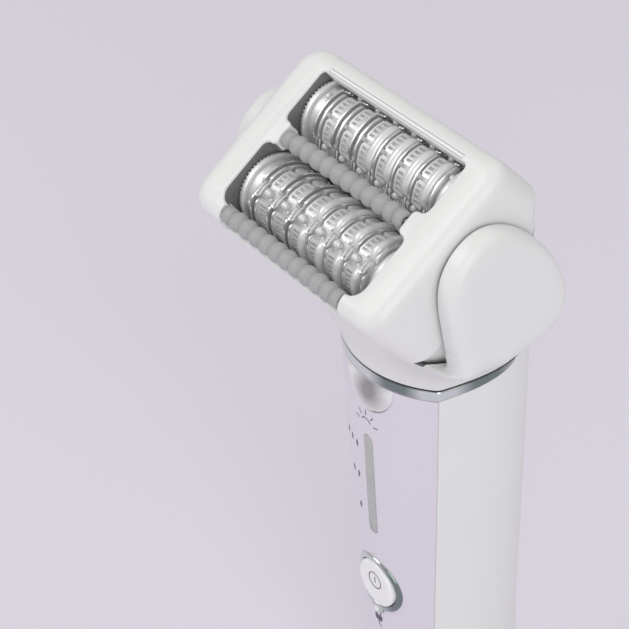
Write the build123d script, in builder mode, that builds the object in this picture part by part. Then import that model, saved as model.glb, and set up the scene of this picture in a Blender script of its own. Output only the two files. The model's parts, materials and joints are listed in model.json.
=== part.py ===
"""Cordless epilator with a tilting double-cylinder head.  Millimetres, +Z up.

The origin is the centre of the flat base.  The handle stands on it, its control panel
faces -Y, and the head is built in the tilted place where it rests.
"""

from build123d import *
import os
from math import atan2, cos, pi, radians, sin, sqrt

# ---------------------------------------------------------------- driving dimensions
RING_Z = 118.0            # height of the handle's top edge above the base
BASE_CAP = 6.0            # height of the bottom cap
WALL = 1.6                # moulded wall of the handle
SEAM = 0.12               # gap drawn between neighbouring mouldings
GASKET = 0.35             # rubber line between the ring and the yoke
PART_Y = -12.0            # plane where the front panel meets the rear housing
HINGE_Y = -9.8            # tilt axis of the head
HINGE_Z = RING_Z + 32.6
TILT = 35.0               # forward lean of the head at rest, degrees

EAR_IN = 30.3             # inner face of each yoke ear
EAR_OUT = 34.8            # outer face of each yoke ear
CAP_X = 33.1              # depth of the outer ear cover
SADDLE_GAP = 0.8          # air between the belly and the yoke's hollow

HEAD_X = 29.7             # half width of the head
HEAD_FRONT = -22.3        # foremost and rearmost reach of the head along its face
HEAD_REAR = 18.4
HEAD_CORNER = 5.2
FACE = 18.0               # face of the head above the tilt axis
HEAD_WALL = 1.2
FRONT_FOOT = -21.0        # the frame's front at its split line
FRONT_KNEE = 13.0         # height where the leaning front turns upright
REAR_FOOT = 14.9          # the frame's rear at its split line
REAR_KNEE = 5.0           # height of its rearmost corner
REAR_TOP = 16.9
BELLY_R = 20.7            # round underside, coaxial with the tilt axis
BELLY_END_R = 13.5        # its radius at the head's ends
BELLY_ROUND = 8.9         # length of each rounded end
BELLY_BACK = 12.2         # upright rear wall of the belly, behind the tilt axis
HUB_R = 6.5
PIN_R = 3.0
RUN_FIT = 0.06            # radial play of a turning fit

WINDOW_X = 21.7           # half width of both windows
LOW_WINDOW = (-18.6, -4.2)
HIGH_WINDOW = (1.1, 12.9)
CYL_MID = -1.2            # the two cylinders stand either side of this line
CYL_HALF_GAP = 9.2
CYL_B = 8.6               # height of both cylinder axes above the tilt axis
CYL_R = 7.9
CYL_X = 20.9              # half length of a cylinder
SHAFT_R = 1.5
PLATE_X = 21.95           # inner face of each side plate
PLATE_T = 1.3

ROLLER_R = 2.0
ROLLER_X = 18.3
ROLLER_PITCH = 3.2
MID_ROLLER = (-1.6, 17.0)
FRONT_ROLLER = (-20.0, 16.4)
AXLE_R = 0.7

MODULE = 0.5
CYL_TEETH = 25
IDLER_TEETH = 24
PINION_TEETH = 14
GEAR_X = (-26.0, -23.8)
MOTOR_R = 6.2
MOTOR_X = (-21.0, 6.0)

BASE_SCREW_AT = ((-8.0, 4.0), (8.0, 4.0))
YOKE_SCREW_AT = ((-11.6, 1.0), (11.6, 1.0))
SCREW_R = 0.95
SCREW_HEAD_R = 1.8
SCREW_HEAD_T = 1.2

BUTTON_Z = RING_Z - 59.3
BUTTON_R = 5.8
BEZEL_R = 7.2

# ---------------------------------------------------------------- derived places
IDLER_B = CYL_B - sqrt((MODULE * (CYL_TEETH + IDLER_TEETH) / 2) ** 2 - CYL_HALF_GAP ** 2)
MOTOR_B = IDLER_B - MODULE * (IDLER_TEETH + PINION_TEETH) / 2
CYL_A = {"front": CYL_MID - CYL_HALF_GAP, "rear": CYL_MID + CYL_HALF_GAP}
GEAR_T = GEAR_X[1] - GEAR_X[0]

ALONG = (0, cos(radians(TILT)), sin(radians(TILT)))      # direction from head front to rear
OUT = (0, -sin(radians(TILT)), cos(radians(TILT)))       # direction out of the head's face
HEAD = Plane(origin=(0, HINGE_Y, HINGE_Z), x_dir=(1, 0, 0), z_dir=OUT)


def side(x):
    """Plane across the head at x; its own axes run along and out of the face."""
    return Plane(origin=(x, HINGE_Y, HINGE_Z), x_dir=ALONG, z_dir=(1, 0, 0))


def upright(x):
    """Plane across the yoke at x, level with the tilt axis, its axes +Y and +Z."""
    return Plane(origin=(x, HINGE_Y, HINGE_Z), x_dir=(0, 1, 0), z_dir=(1, 0, 0))


def save(piece, name):
    """Label a finished sub-part and write its STEP file."""
    piece.part.label = name
    export_step(piece.part, f"parts/{name}.step")


os.makedirs("parts", exist_ok=True)

# ================================================================ handle cross-sections
# height, corner half width, corner y, front y, greatest half width, its y, back y
HANDLE_SECTIONS = [
    (0.0, 10.9, -12.0, -16.4, 13.2, 2.0, 15.2),
    (BASE_CAP, 11.5, -12.0, -16.7, 13.9, 2.2, 15.6),
    (40.0, 12.8, -12.0, -16.9, 14.9, 3.0, 16.2),
    (80.0, 14.4, -12.0, -17.6, 16.2, 3.6, 16.9),
    (RING_Z, 15.95, -12.0, -18.2, 17.4, 4.0, 17.5),
]
YOKE_SECTIONS = [
    (RING_Z + GASKET, 15.95, -12.0, -18.2, 17.4, 4.0, 17.5),
    (RING_Z + 6.0, 18.8, -14.2, -19.6, 21.5, 1.0, 14.6),
    (RING_Z + 13.0, 26.0, -18.8, -22.3, 28.5, -3.5, 9.6),
    (RING_Z + 18.5, 32.2, -22.3, -24.3, 34.7, -6.4, 5.8),
]


def outline(section, inset=0.0):
    """Closed handle section: one bowed front arc, one smooth curve round the back."""
    z, corner_x, corner_y, front_y, wide_x, wide_y, back_y = section
    corner_x -= inset
    wide_x -= inset
    back_y -= inset
    quarter_x = wide_x * 0.76
    quarter_y = wide_y + (back_y - wide_y) * 0.70
    with BuildSketch(Plane.XY.offset(z)) as drawn:
        with BuildLine():
            ThreePointArc((-corner_x, corner_y), (0, front_y + inset), (corner_x, corner_y))
            Spline(
                (corner_x, corner_y), (wide_x, wide_y), (quarter_x, quarter_y), (0, back_y),
                (-quarter_x, quarter_y), (-wide_x, wide_y), (-corner_x, corner_y),
            )
        make_face()
    return drawn.sketch


def between(sections, z):
    """Handle section at any height, by straight interpolation."""
    for low, high in zip(sections, sections[1:]):
        if low[0] <= z <= high[0]:
            share = (z - low[0]) / (high[0] - low[0])
            return tuple(a + (b - a) * share for a, b in zip(low, high))
    raise ValueError(z)


def front_y(z, x=0.0):
    """Y of the panel's outer surface at height z and side offset x."""
    _, corner_x, corner_y, middle_y, *_ = between(HANDLE_SECTIONS, z)
    bow = corner_y - middle_y
    radius = (corner_x ** 2 + bow ** 2) / (2 * bow)
    return middle_y + radius - sqrt(radius ** 2 - x ** 2)


SHELL_SECTIONS = HANDLE_SECTIONS[1:]
INNER_SECTIONS = [between(HANDLE_SECTIONS, BASE_CAP)] + HANDLE_SECTIONS[2:]


def lens_shape(grow=0.0):
    """U-shaped window under the ring, drawn facing -Y."""
    with BuildSketch(Plane.XZ) as drawn:
        with Locations((0, RING_Z - 2.6)):
            Ellipse(7.6 + grow, 8.2 + grow)
        with Locations((0, RING_Z + 10.0 - 2.6)):
            Rectangle(40, 20, mode=Mode.SUBTRACT)
    return drawn.sketch


def slot_shape(grow=0.0):
    """Upright stadium of the speed display."""
    with BuildSketch(Plane.XZ) as drawn:
        with Locations((0, RING_Z - 31.2)):
            SlotOverall(26.8 + 2 * grow, 2.8 + 2 * grow, rotation=90)
    return drawn.sketch


def bezel_shape(grow=0.0):
    """Round switch surround with the small lobe of the charge lamp."""
    with BuildSketch(Plane.XZ) as drawn:
        with Locations((0, BUTTON_Z)):
            Circle(BEZEL_R + grow)
        with Locations((0, BUTTON_Z - BEZEL_R + 0.3)):
            Circle(1.9 + grow)
    return drawn.sketch


# ---------------------------------------------------------------- front panel
with BuildPart() as front_panel:
    loft([outline(s) for s in SHELL_SECTIONS])
    loft([outline(s, WALL) for s in INNER_SECTIONS], mode=Mode.SUBTRACT)
    with BuildSketch(Plane.XY.offset(BASE_CAP)):
        with Locations((0, PART_Y - SEAM / 2 + 30)):
            Rectangle(80, 60)
    extrude(amount=RING_Z, mode=Mode.SUBTRACT)
    with BuildSketch(Plane.XY.offset(RING_Z - 2.5)):
        Rectangle(80, 80)
    extrude(amount=10, mode=Mode.SUBTRACT)
    extrude(lens_shape(0.05), amount=40, mode=Mode.SUBTRACT)
    extrude(slot_shape(0.05), amount=40, mode=Mode.SUBTRACT)
    extrude(bezel_shape(0.05), amount=40, mode=Mode.SUBTRACT)
save(front_panel, "front_panel")

# ---------------------------------------------------------------- rear housing
with BuildPart() as rear_housing:
    loft([outline(s) for s in SHELL_SECTIONS])
    loft([outline(s, WALL) for s in INNER_SECTIONS], mode=Mode.SUBTRACT)
    with BuildSketch(Plane.XY.offset(BASE_CAP)):
        with Locations((0, PART_Y + SEAM / 2 - 30)):
            Rectangle(80, 60)
    extrude(amount=RING_Z, mode=Mode.SUBTRACT)
    with BuildSketch(Plane.YZ):
        with BuildLine():
            Polyline((-30, RING_Z - 2.5), (1.0, RING_Z - 2.5), (7.0, RING_Z), (7.0, RING_Z + 9),
                     (-30, RING_Z + 9), close=True)
        make_face()
    extrude(amount=40, both=True, mode=Mode.SUBTRACT)
save(rear_housing, "rear_housing")

# ---------------------------------------------------------------- chrome ring
with BuildPart() as trim_ring:
    loft([outline(between(HANDLE_SECTIONS, RING_Z - 2.4)), outline(HANDLE_SECTIONS[-1])])
    loft([outline(between(HANDLE_SECTIONS, RING_Z - 2.4), WALL), outline(HANDLE_SECTIONS[-1], WALL)],
         mode=Mode.SUBTRACT)
    with BuildSketch(Plane.YZ):
        with BuildLine():
            Polyline((0.6, RING_Z - 2.5), (6.6, RING_Z), (6.6, RING_Z + 5), (40, RING_Z + 5),
                     (40, RING_Z - 9), (0.6, RING_Z - 9), close=True)
        make_face()
    extrude(amount=40, both=True, mode=Mode.SUBTRACT)
save(trim_ring, "trim_ring")

# ---------------------------------------------------------------- bottom cap and its inlet
INLET_Y = 7.5
with BuildPart() as bottom_cap:
    loft([outline(HANDLE_SECTIONS[0]), outline(HANDLE_SECTIONS[1])])
    with BuildSketch(Plane.XY.offset(BASE_CAP)):
        add(outline(HANDLE_SECTIONS[1], 2 * WALL))
    extrude(amount=-(BASE_CAP - 1.8), mode=Mode.SUBTRACT)
    with BuildSketch():
        with Locations((0, INLET_Y)):
            Circle(5.0)
    extrude(amount=3.0, mode=Mode.SUBTRACT)
    with BuildSketch():
        with Locations(*BASE_SCREW_AT):
            Circle(SCREW_HEAD_R + 0.1)
    extrude(amount=0.5 + SCREW_HEAD_T, mode=Mode.SUBTRACT)
    with BuildSketch():
        with Locations(*BASE_SCREW_AT):
            Circle(SCREW_R + 0.1)
    extrude(amount=BASE_CAP, mode=Mode.SUBTRACT)
    fillet(bottom_cap.faces().sort_by(Axis.Z)[0].outer_wire().edges(), 1.2)
save(bottom_cap, "bottom_cap")

with BuildPart() as charge_socket:
    with BuildSketch(Plane.XY.offset(0.6)):
        with Locations((0, INLET_Y)):
            Circle(4.95)
    extrude(amount=13.4)
    with BuildSketch(Plane.XY.offset(0.6)):
        with Locations((0, INLET_Y)):
            SlotOverall(8.2, 5.2)
    extrude(amount=9.4, mode=Mode.SUBTRACT)
save(charge_socket, "charge_socket")

with BuildPart() as socket_pins:
    with BuildSketch(Plane.XY.offset(3.0)):
        with Locations((-2.0, INLET_Y), (2.0, INLET_Y)):
            Circle(0.6)
    extrude(amount=7.0)
save(socket_pins, "socket_pins")

# ---------------------------------------------------------------- inserts in the front panel
def panel_insert(shape, proud, depth):
    """Piece of the given outline that follows the panel's curve."""
    with BuildPart() as insert:
        extrude(shape, amount=40)
        loft([outline(s, -proud) for s in SHELL_SECTIONS], mode=Mode.INTERSECT)
        loft([outline(s, depth) for s in SHELL_SECTIONS], mode=Mode.SUBTRACT)
    return insert


with BuildPart() as light_lens:
    add(panel_insert(lens_shape(), 0.0, 2.4).part)
    with BuildSketch(Plane.XY.offset(RING_Z - 2.45)):
        Rectangle(60, 80)
    extrude(amount=10, mode=Mode.SUBTRACT)
save(light_lens, "light_lens")

speed_window = panel_insert(slot_shape(), -0.15, WALL)
save(speed_window, "speed_window")

LAMP_Z = BUTTON_Z - BEZEL_R - 0.35
SWITCH_BACK_Y = -13.9
with BuildPart() as button_bezel:
    extrude(bezel_shape(), amount=40)
    loft([outline(s, -0.45) for s in SHELL_SECTIONS], mode=Mode.INTERSECT)
    with BuildSketch(Plane.XZ):
        with Locations((0, BUTTON_Z)):
            Circle(BUTTON_R + RUN_FIT)
        with Locations((0, LAMP_Z)):
            Circle(0.95)
    extrude(amount=40, mode=Mode.SUBTRACT)
    with BuildSketch(Plane.XZ):
        with Locations((0, BUTTON_Z)):
            Rectangle(30, 40)
    extrude(amount=-SWITCH_BACK_Y, mode=Mode.SUBTRACT)
save(button_bezel, "button_bezel")

with BuildPart() as charge_lamp:
    with BuildSketch(Plane.XZ.offset(-SWITCH_BACK_Y)):
        with Locations((0, LAMP_Z)):
            Circle(0.95)
    extrude(amount=-front_y(LAMP_Z) + SWITCH_BACK_Y + 0.4)
save(charge_lamp, "charge_lamp")

BUTTON_FACE_Y = front_y(BUTTON_Z) - 0.5
with BuildPart() as power_button:
    with BuildSketch(Plane.XZ.offset(-SWITCH_BACK_Y - 0.1)):
        with Locations((0, BUTTON_Z)):
            Circle(BUTTON_R)
    extrude(amount=-BUTTON_FACE_Y + SWITCH_BACK_Y + 0.1)
    fillet(power_button.faces().sort_by(Axis.Y)[0].edges(), 0.6)
    with BuildSketch(Plane.XZ.offset(-SWITCH_BACK_Y - 0.7)):
        with Locations((0, BUTTON_Z)):
            Circle(6.8)
    extrude(amount=0.6)
save(power_button, "power_button")

# ---------------------------------------------------------------- electronics in the handle
BOARD_Y = -11.2
with BuildPart() as main_circuit_board:
    with BuildSketch(Plane.XZ.offset(-BOARD_Y - 1.0)):
        with Locations((0, RING_Z - 58)):
            RectangleRounded(19, 92, 1.5)
    extrude(amount=1.0)
save(main_circuit_board, "main_circuit_board")

with BuildPart() as tact_switch:
    with BuildSketch(Plane.XZ.offset(-BOARD_Y)):
        with Locations((0, BUTTON_Z)):
            Rectangle(6, 6)
    extrude(amount=0.7)
    with BuildSketch(Plane.XZ.offset(-BOARD_Y + 0.7)):
        with Locations((0, BUTTON_Z)):
            Circle(1.7)
    extrude(amount=0.4)
save(tact_switch, "tact_switch")

with BuildPart() as light_board:
    with BuildSketch(Plane.XZ.offset(12.0)):
        with Locations((0, RING_Z - 6.5)):
            RectangleRounded(11, 7, 1)
    extrude(amount=0.8)
    with BuildSketch(Plane.XZ.offset(12.8)):
        with Locations((0, RING_Z - 6.5)):
            Circle(1.8)
    extrude(amount=1.4)
    fillet(light_board.faces().sort_by(Axis.Y)[0].edges(), 1.0)
save(light_board, "light_board")

CELL_R = 7.1
CELL_Y = 1.6
CELL_Z = (34.0, 84.0)
with BuildPart() as battery_cell:
    with BuildSketch(Plane.XY.offset(CELL_Z[0])):
        with Locations((0, CELL_Y)):
            Circle(CELL_R)
    extrude(amount=CELL_Z[1] - CELL_Z[0])
    fillet(battery_cell.edges().filter_by(GeomType.CIRCLE), 0.6)
    with BuildSketch(Plane.XY.offset(CELL_Z[1])):
        with Locations((0, CELL_Y)):
            Circle(2.6)
    extrude(amount=1.0)
save(battery_cell, "battery_cell")

with BuildPart() as battery_tabs:
    for tab_z in (CELL_Z[0] - 0.3, CELL_Z[1] + 1.0):
        with BuildSketch(Plane.XY.offset(tab_z)):
            with Locations((0, CELL_Y - 5.6)):
                Rectangle(4, 12.2)
        extrude(amount=0.3)
save(battery_tabs, "battery_tabs")

CHASSIS_TOP = RING_Z - 9.0
with BuildPart() as chassis:
    for plate_z in (BASE_CAP + 0.2, CHASSIS_TOP):
        add(outline(between(HANDLE_SECTIONS, plate_z), WALL + 0.5))
        extrude(amount=2.6)
    with BuildSketch(Plane.XY.offset(BASE_CAP)):
        with Locations((0, PART_Y + 1.8 - 20)):
            Rectangle(60, 40)
    extrude(amount=RING_Z, mode=Mode.SUBTRACT)
    with BuildSketch(Plane.XY.offset(BASE_CAP + 0.2)):
        with Locations((0, CELL_Y)):
            Circle(CELL_R + 2.2)
        with Locations((0, CELL_Y)):
            Circle(CELL_R + 0.6, mode=Mode.SUBTRACT)
        with Locations((0, CELL_Y - 9)):
            Rectangle(30, 18, mode=Mode.SUBTRACT)
    extrude(amount=CHASSIS_TOP - BASE_CAP)
    with BuildSketch(Plane.XY.offset(BASE_CAP)):
        with Locations((0, INLET_Y)):
            Circle(5.2)
    extrude(amount=9.0, mode=Mode.SUBTRACT)
    with BuildSketch(Plane.XY.offset(BASE_CAP)):
        with Locations(*BASE_SCREW_AT):
            Circle(SCREW_R)
    extrude(amount=3.5, mode=Mode.SUBTRACT)
    with BuildSketch(Plane.XY.offset(CHASSIS_TOP)):
        with Locations((0, 0)):
            Circle(3.5)
        with Locations(*YOKE_SCREW_AT):
            Circle(SCREW_R + 0.1)
    extrude(amount=3.5, mode=Mode.SUBTRACT)
save(chassis, "chassis")


def screw(at, z, length):
    """Pan-head screw with its head towards -Z, added to the part being built."""
    with BuildSketch(Plane.XY.offset(z)) as head:
        with Locations(at):
            Circle(SCREW_HEAD_R)
    extrude(head.sketch, amount=SCREW_HEAD_T)
    with BuildSketch(Plane.XY.offset(z + SCREW_HEAD_T)) as shank:
        with Locations(at):
            Circle(SCREW_R)
    extrude(shank.sketch, amount=length - SCREW_HEAD_T)


with BuildPart() as base_screws:
    for place in BASE_SCREW_AT:
        screw(place, 0.5, 8.0)
save(base_screws, "base_screws")

with BuildPart() as yoke_screws:
    for place in YOKE_SCREW_AT:
        screw(place, CHASSIS_TOP - SCREW_HEAD_T, 18.0)
save(yoke_screws, "yoke_screws")

# ================================================================ yoke
with BuildPart() as neck_gasket:
    add(outline(HANDLE_SECTIONS[-1], 0.25))
    extrude(amount=GASKET)
    add(outline(HANDLE_SECTIONS[-1], WALL + 0.6))
    extrude(amount=GASKET, mode=Mode.SUBTRACT)
save(neck_gasket, "neck_gasket")


def barrel(inset=0.0):
    """Round belly with soft ends, turned about the tilt axis."""
    end = HEAD_X - inset
    radius = BELLY_R - inset
    end_radius = BELLY_END_R - inset
    flat = end - BELLY_ROUND
    with BuildPart() as turned:
        with BuildSketch(Plane(origin=(0, HINGE_Y, HINGE_Z), x_dir=(1, 0, 0), z_dir=(0, -1, 0))):
            with BuildLine():
                EllipticalCenterArc((flat, end_radius), BELLY_ROUND, radius - end_radius, 0, arc_size=90)
                Line((flat, radius), (-flat, radius))
                EllipticalCenterArc((-flat, end_radius), BELLY_ROUND, radius - end_radius, 90, arc_size=90)
                Polyline((-end, end_radius), (-end, 0), (end, 0), (end, end_radius))
            make_face()
        revolve(axis=Axis((0, HINGE_Y, HINGE_Z), (1, 0, 0)))
    return turned.part


# the ear seen from the side, measured from the tilt axis
EAR_POINTS = [(-11.0, -15.2), (-12.9, -3.0), (-12.4, 8.9), (-5.1, 14.5), (5.0, 10.9), (12.9, 0.4),
              (14.6, -7.8), (10.4, -15.2)]
EAR_EDGE = 2.6
FRONT_LIP = -13.2         # edges of the yoke's hollow, below the tilt axis
REAR_LIP = -15.0


def ear_shape(x, inset=0.0):
    """Rounded ear leaning forward, on the plane at x."""
    with BuildSketch(upright(x)) as drawn:
        with BuildLine():
            curve = Spline(*EAR_POINTS)
            Line(curve @ 1, curve @ 0)
        make_face()
        if inset:
            offset(amount=-inset)
    return drawn.sketch


def ear(side_sign):
    """One solid ear with a soft outer edge."""
    with BuildPart() as solid:
        extrude(ear_shape(side_sign * EAR_IN), amount=side_sign * (EAR_OUT - EAR_IN))
        outer = solid.faces().sort_by(Axis.X)[-1 if side_sign > 0 else 0]
        fillet(outer.edges().sort_by(Axis.Z)[1:], EAR_EDGE)
    return solid.part


def cover_region(side_sign, gap):
    """Space taken by an ear cover: the outer skin and the rim above the head's split line."""
    with BuildPart() as region:
        with BuildSketch(upright(side_sign * (CAP_X + gap))):
            Rectangle(60, 60)
        extrude(amount=side_sign * 10)
        with BuildSketch(side(side_sign * (EAR_IN - 0.5))):
            with Locations((0, 15 + gap)):
                Rectangle(60, 30)
        extrude(amount=side_sign * 4)
        with BuildSketch(side(side_sign * (EAR_IN - 0.5))):
            with Locations((0, 0)):
                Circle(9.6 + gap)
        extrude(amount=side_sign * (CAP_X - EAR_IN + 0.5 + gap), mode=Mode.SUBTRACT)
    return region.part


with BuildPart() as fork:
    loft([outline(s) for s in YOKE_SECTIONS])
    for side_sign in (-1, 1):
        add(ear(side_sign))
    add(barrel(-SADDLE_GAP), mode=Mode.SUBTRACT)
    with BuildSketch(upright(-EAR_IN)):
        with Locations((-30, FRONT_LIP + 30)):
            Rectangle(60, 60)
        with Locations((30, REAR_LIP + 30)):
            Rectangle(60, 60)
    extrude(amount=2 * EAR_IN, mode=Mode.SUBTRACT)
    with BuildSketch(upright(-EAR_OUT)):
        Rectangle(120, 120)
    extrude(amount=2 * EAR_OUT, mode=Mode.INTERSECT)

for name, side_sign in (("left", -1), ("right", 1)):
    with BuildPart() as ear_cap:
        add(fork.part)
        add(cover_region(side_sign, SEAM / 2), mode=Mode.INTERSECT)
    save(ear_cap, f"ear_cap_{name}")

with BuildPart() as yoke:
    add(fork.part)
    for side_sign in (-1, 1):
        add(cover_region(side_sign, -SEAM / 2), mode=Mode.SUBTRACT)
    with BuildSketch(Plane.XY.offset(RING_Z)):
        Circle(3.0)
        with Locations(*YOKE_SCREW_AT):
            Circle(SCREW_R)
    extrude(amount=9.5, mode=Mode.SUBTRACT)
    with BuildSketch(upright(-40)):
        Circle(PIN_R)
    extrude(amount=80, mode=Mode.SUBTRACT)
save(yoke, "yoke")

for name, side_sign in (("left", -1), ("right", 1)):
    with BuildPart() as pivot_pin:
        with BuildSketch(upright(side_sign * (HEAD_X - 1.95))):
            Circle(PIN_R)
        extrude(amount=side_sign * (CAP_X - HEAD_X + 1.9))
    save(pivot_pin, f"pivot_pin_{name}")

# ================================================================ tilting head
def head_plan(b, inset=0.0):
    """Rounded rectangle of the head at height b above the tilt axis."""
    with BuildSketch(HEAD.offset(b)) as drawn:
        with Locations((0, (HEAD_FRONT + HEAD_REAR) / 2)):
            RectangleRounded(2 * (HEAD_X - inset), HEAD_REAR - HEAD_FRONT - 2 * inset, HEAD_CORNER - inset)
    return drawn.sketch


def window(b, span, half_width=WINDOW_X, corner=3.0):
    """Rounded opening of the face between two places along the head."""
    with BuildSketch(HEAD.offset(b)) as drawn:
        with Locations((0, sum(span) / 2)):
            RectangleRounded(2 * half_width, span[1] - span[0], corner)
    return drawn.sketch


STRIP_A = (13.3, 14.1)
def frame_profile(inset=0.0):
    """Side view of the frame over the whole width: a leaning front and a cornered rear."""
    with BuildPart() as solid:
        with BuildSketch(side(-HEAD_X)):
            with BuildLine():
                Polyline((FRONT_FOOT + inset, 0), (HEAD_FRONT + inset, FRONT_KNEE), (HEAD_FRONT + inset, FACE),
                         (REAR_TOP - inset, FACE), (HEAD_REAR - inset, REAR_KNEE), (REAR_FOOT - inset, 0),
                         (FRONT_FOOT + inset, 0))
            make_face()
        extrude(amount=2 * HEAD_X)
    return solid.part


def frame_hollow():
    """Room inside the frame, open below."""
    with BuildPart() as solid:
        extrude(head_plan(0, HEAD_WALL), amount=FACE - HEAD_WALL)
        add(frame_profile(HEAD_WALL), mode=Mode.INTERSECT)
    return solid.part


with BuildPart() as head_frame:
    extrude(head_plan(0), amount=FACE)
    fillet(head_frame.faces().sort_by(Axis(HEAD.origin, OUT))[-1].edges(), 3.0)
    add(frame_profile(), mode=Mode.INTERSECT)
    add(frame_hollow(), mode=Mode.SUBTRACT)
    with BuildSketch(HEAD.offset(14.4)):
        for end in (-1, 1):
            with Locations((end * 20.25, MID_ROLLER[0])):
                Rectangle(2.9, 5.4)
            with Locations((end * 20.25, -19.4)):
                Rectangle(2.9, 2.4)
    extrude(amount=FACE - 14.6)
    extrude(window(FACE - 5, LOW_WINDOW), amount=10, mode=Mode.SUBTRACT)
    extrude(window(FACE - 5, HIGH_WINDOW), amount=10, mode=Mode.SUBTRACT)
    with BuildSketch(HEAD.offset(13.9)):
        with Locations((0, -1.5)):
            Rectangle(2 * ROLLER_X + 1.2, 8)
        with Locations((0, -20.0)):
            Rectangle(2 * ROLLER_X + 1.0, 6)
    extrude(amount=10, mode=Mode.SUBTRACT)
    with BuildSketch(HEAD.offset(FACE - 0.5)):
        with Locations((0, sum(STRIP_A) / 2)):
            Rectangle(40.2, STRIP_A[1] - STRIP_A[0])
    extrude(amount=5, mode=Mode.SUBTRACT)
    with BuildSketch(side(-21.2)):
        with Locations(MID_ROLLER, FRONT_ROLLER):
            Circle(AXLE_R)
    extrude(amount=42.4, mode=Mode.SUBTRACT)
    with BuildSketch(side(-40)):
        Circle(HUB_R)
    extrude(amount=80, mode=Mode.SUBTRACT)
save(head_frame, "head_frame")

with BuildPart() as skin_strip:
    with BuildSketch(HEAD.offset(FACE - 0.5)):
        with Locations((0, sum(STRIP_A) / 2)):
            Rectangle(40.0, STRIP_A[1] - STRIP_A[0] - 0.2)
    extrude(amount=0.45)
save(skin_strip, "skin_strip")


def belly(top_b, inset=0.0):
    """Lower half of the head: the barrel cut to the head's plan, with an upright rear wall."""
    with BuildPart() as solid:
        extrude(head_plan(top_b, inset), amount=-30)
        add(barrel(inset), mode=Mode.INTERSECT)
        with BuildSketch(upright(-HEAD_X)):
            with Locations((BELLY_BACK - inset - 30, 0)):
                Rectangle(60, 60)
        extrude(amount=2 * HEAD_X, mode=Mode.INTERSECT)
    return solid.part


with BuildPart() as head_base:
    add(belly(-SEAM))
    add(belly(1.0, HEAD_WALL), mode=Mode.SUBTRACT)
    with BuildSketch(side(-40)):
        Circle(HUB_R)
    extrude(amount=80, mode=Mode.SUBTRACT)
save(head_base, "head_base")

for name, side_sign in (("left", -1), ("right", 1)):
    with BuildPart() as pivot_hub:
        with BuildSketch(side(side_sign * (HEAD_X - 1.95))):
            Circle(HUB_R)
            Circle(PIN_R + RUN_FIT, mode=Mode.SUBTRACT)
        extrude(amount=side_sign * 1.95)
    save(pivot_hub, f"pivot_hub_{name}")

# ---------------------------------------------------------------- side plates and bearings
BEARING_R = 2.6
CYLINDER_AT = [(CYL_A["front"], CYL_B), (CYL_A["rear"], CYL_B)]
IDLER_AT = (CYL_MID, IDLER_B)
MOTOR_AT = (CYL_MID, MOTOR_B)
IDLER_PIN_R = 1.2
MOTOR_SHAFT_R = 1.0

for name, side_sign in (("left", -1), ("right", 1)):
    with BuildPart() as side_plate:
        with BuildSketch(side(side_sign * PLATE_X)):
            with BuildLine():
                Polyline((13.0, 0.0), (15.1, 3.0), (15.1, 16.0), (-18.8, 16.2), (-18.8, -1.0), (-15.8, -10.0),
                         (-8.0, -17.0), (0.0, -18.2), (13.0, 0.0))
            make_face()
            with Locations(*CYLINDER_AT):
                Circle(BEARING_R, mode=Mode.SUBTRACT)
            if side_sign < 0:
                with Locations(IDLER_AT):
                    Circle(IDLER_PIN_R, mode=Mode.SUBTRACT)
                with Locations(MOTOR_AT):
                    Circle(2.2, mode=Mode.SUBTRACT)
        extrude(amount=side_sign * PLATE_T)
    save(side_plate, f"side_plate_{name}")

with BuildPart() as cylinder_bearings:
    for side_sign in (-1, 1):
        with BuildSketch(side(side_sign * PLATE_X)):
            with Locations(*CYLINDER_AT):
                Circle(BEARING_R)
                Circle(SHAFT_R + RUN_FIT, mode=Mode.SUBTRACT)
        extrude(amount=side_sign * PLATE_T)
save(cylinder_bearings, "cylinder_bearings")

# ---------------------------------------------------------------- motor
with BuildPart() as motor_can:
    with BuildSketch(side(MOTOR_X[0])):
        with Locations(MOTOR_AT):
            Circle(MOTOR_R)
    extrude(amount=MOTOR_X[1] - MOTOR_X[0])
    fillet(motor_can.faces().sort_by(Axis.X)[0].edges(), 1.0)
    with BuildSketch(side(MOTOR_X[0] - 0.9)):
        with Locations(MOTOR_AT):
            Circle(2.2)
    extrude(amount=0.9)
    with BuildSketch(side(MOTOR_X[0] - 2)):
        with Locations(MOTOR_AT):
            Circle(MOTOR_SHAFT_R + RUN_FIT)
    extrude(amount=22, mode=Mode.SUBTRACT)
save(motor_can, "motor_can")

with BuildPart() as motor_cap:
    with BuildSketch(side(MOTOR_X[1])):
        with Locations(MOTOR_AT):
            Circle(MOTOR_R - 0.4)
    extrude(amount=2.0)
    with BuildSketch(side(MOTOR_X[1] + 2.0)):
        for offset_a in (-4.5, 4.5):
            with Locations((MOTOR_AT[0] + offset_a, MOTOR_AT[1])):
                Rectangle(2.0, 0.6)
    extrude(amount=3.0)
save(motor_cap, "motor_cap")

with BuildPart() as motor_shaft:
    with BuildSketch(side(-26.8)):
        with Locations(MOTOR_AT):
            Circle(MOTOR_SHAFT_R)
    extrude(amount=24.0)
save(motor_shaft, "motor_shaft")

with BuildPart() as idler_pin:
    with BuildSketch(side(-26.7)):
        with Locations(IDLER_AT):
            Circle(IDLER_PIN_R)
    extrude(amount=26.7 - PLATE_X)
save(idler_pin, "idler_pin")

# ---------------------------------------------------------------- gears
ADDENDUM = 0.8 * MODULE
DEDENDUM = 1.05 * MODULE
ROOT_SHARE = 0.29         # half thickness of a tooth, as a share of its pitch angle
TIP_SHARE = 0.12


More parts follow.
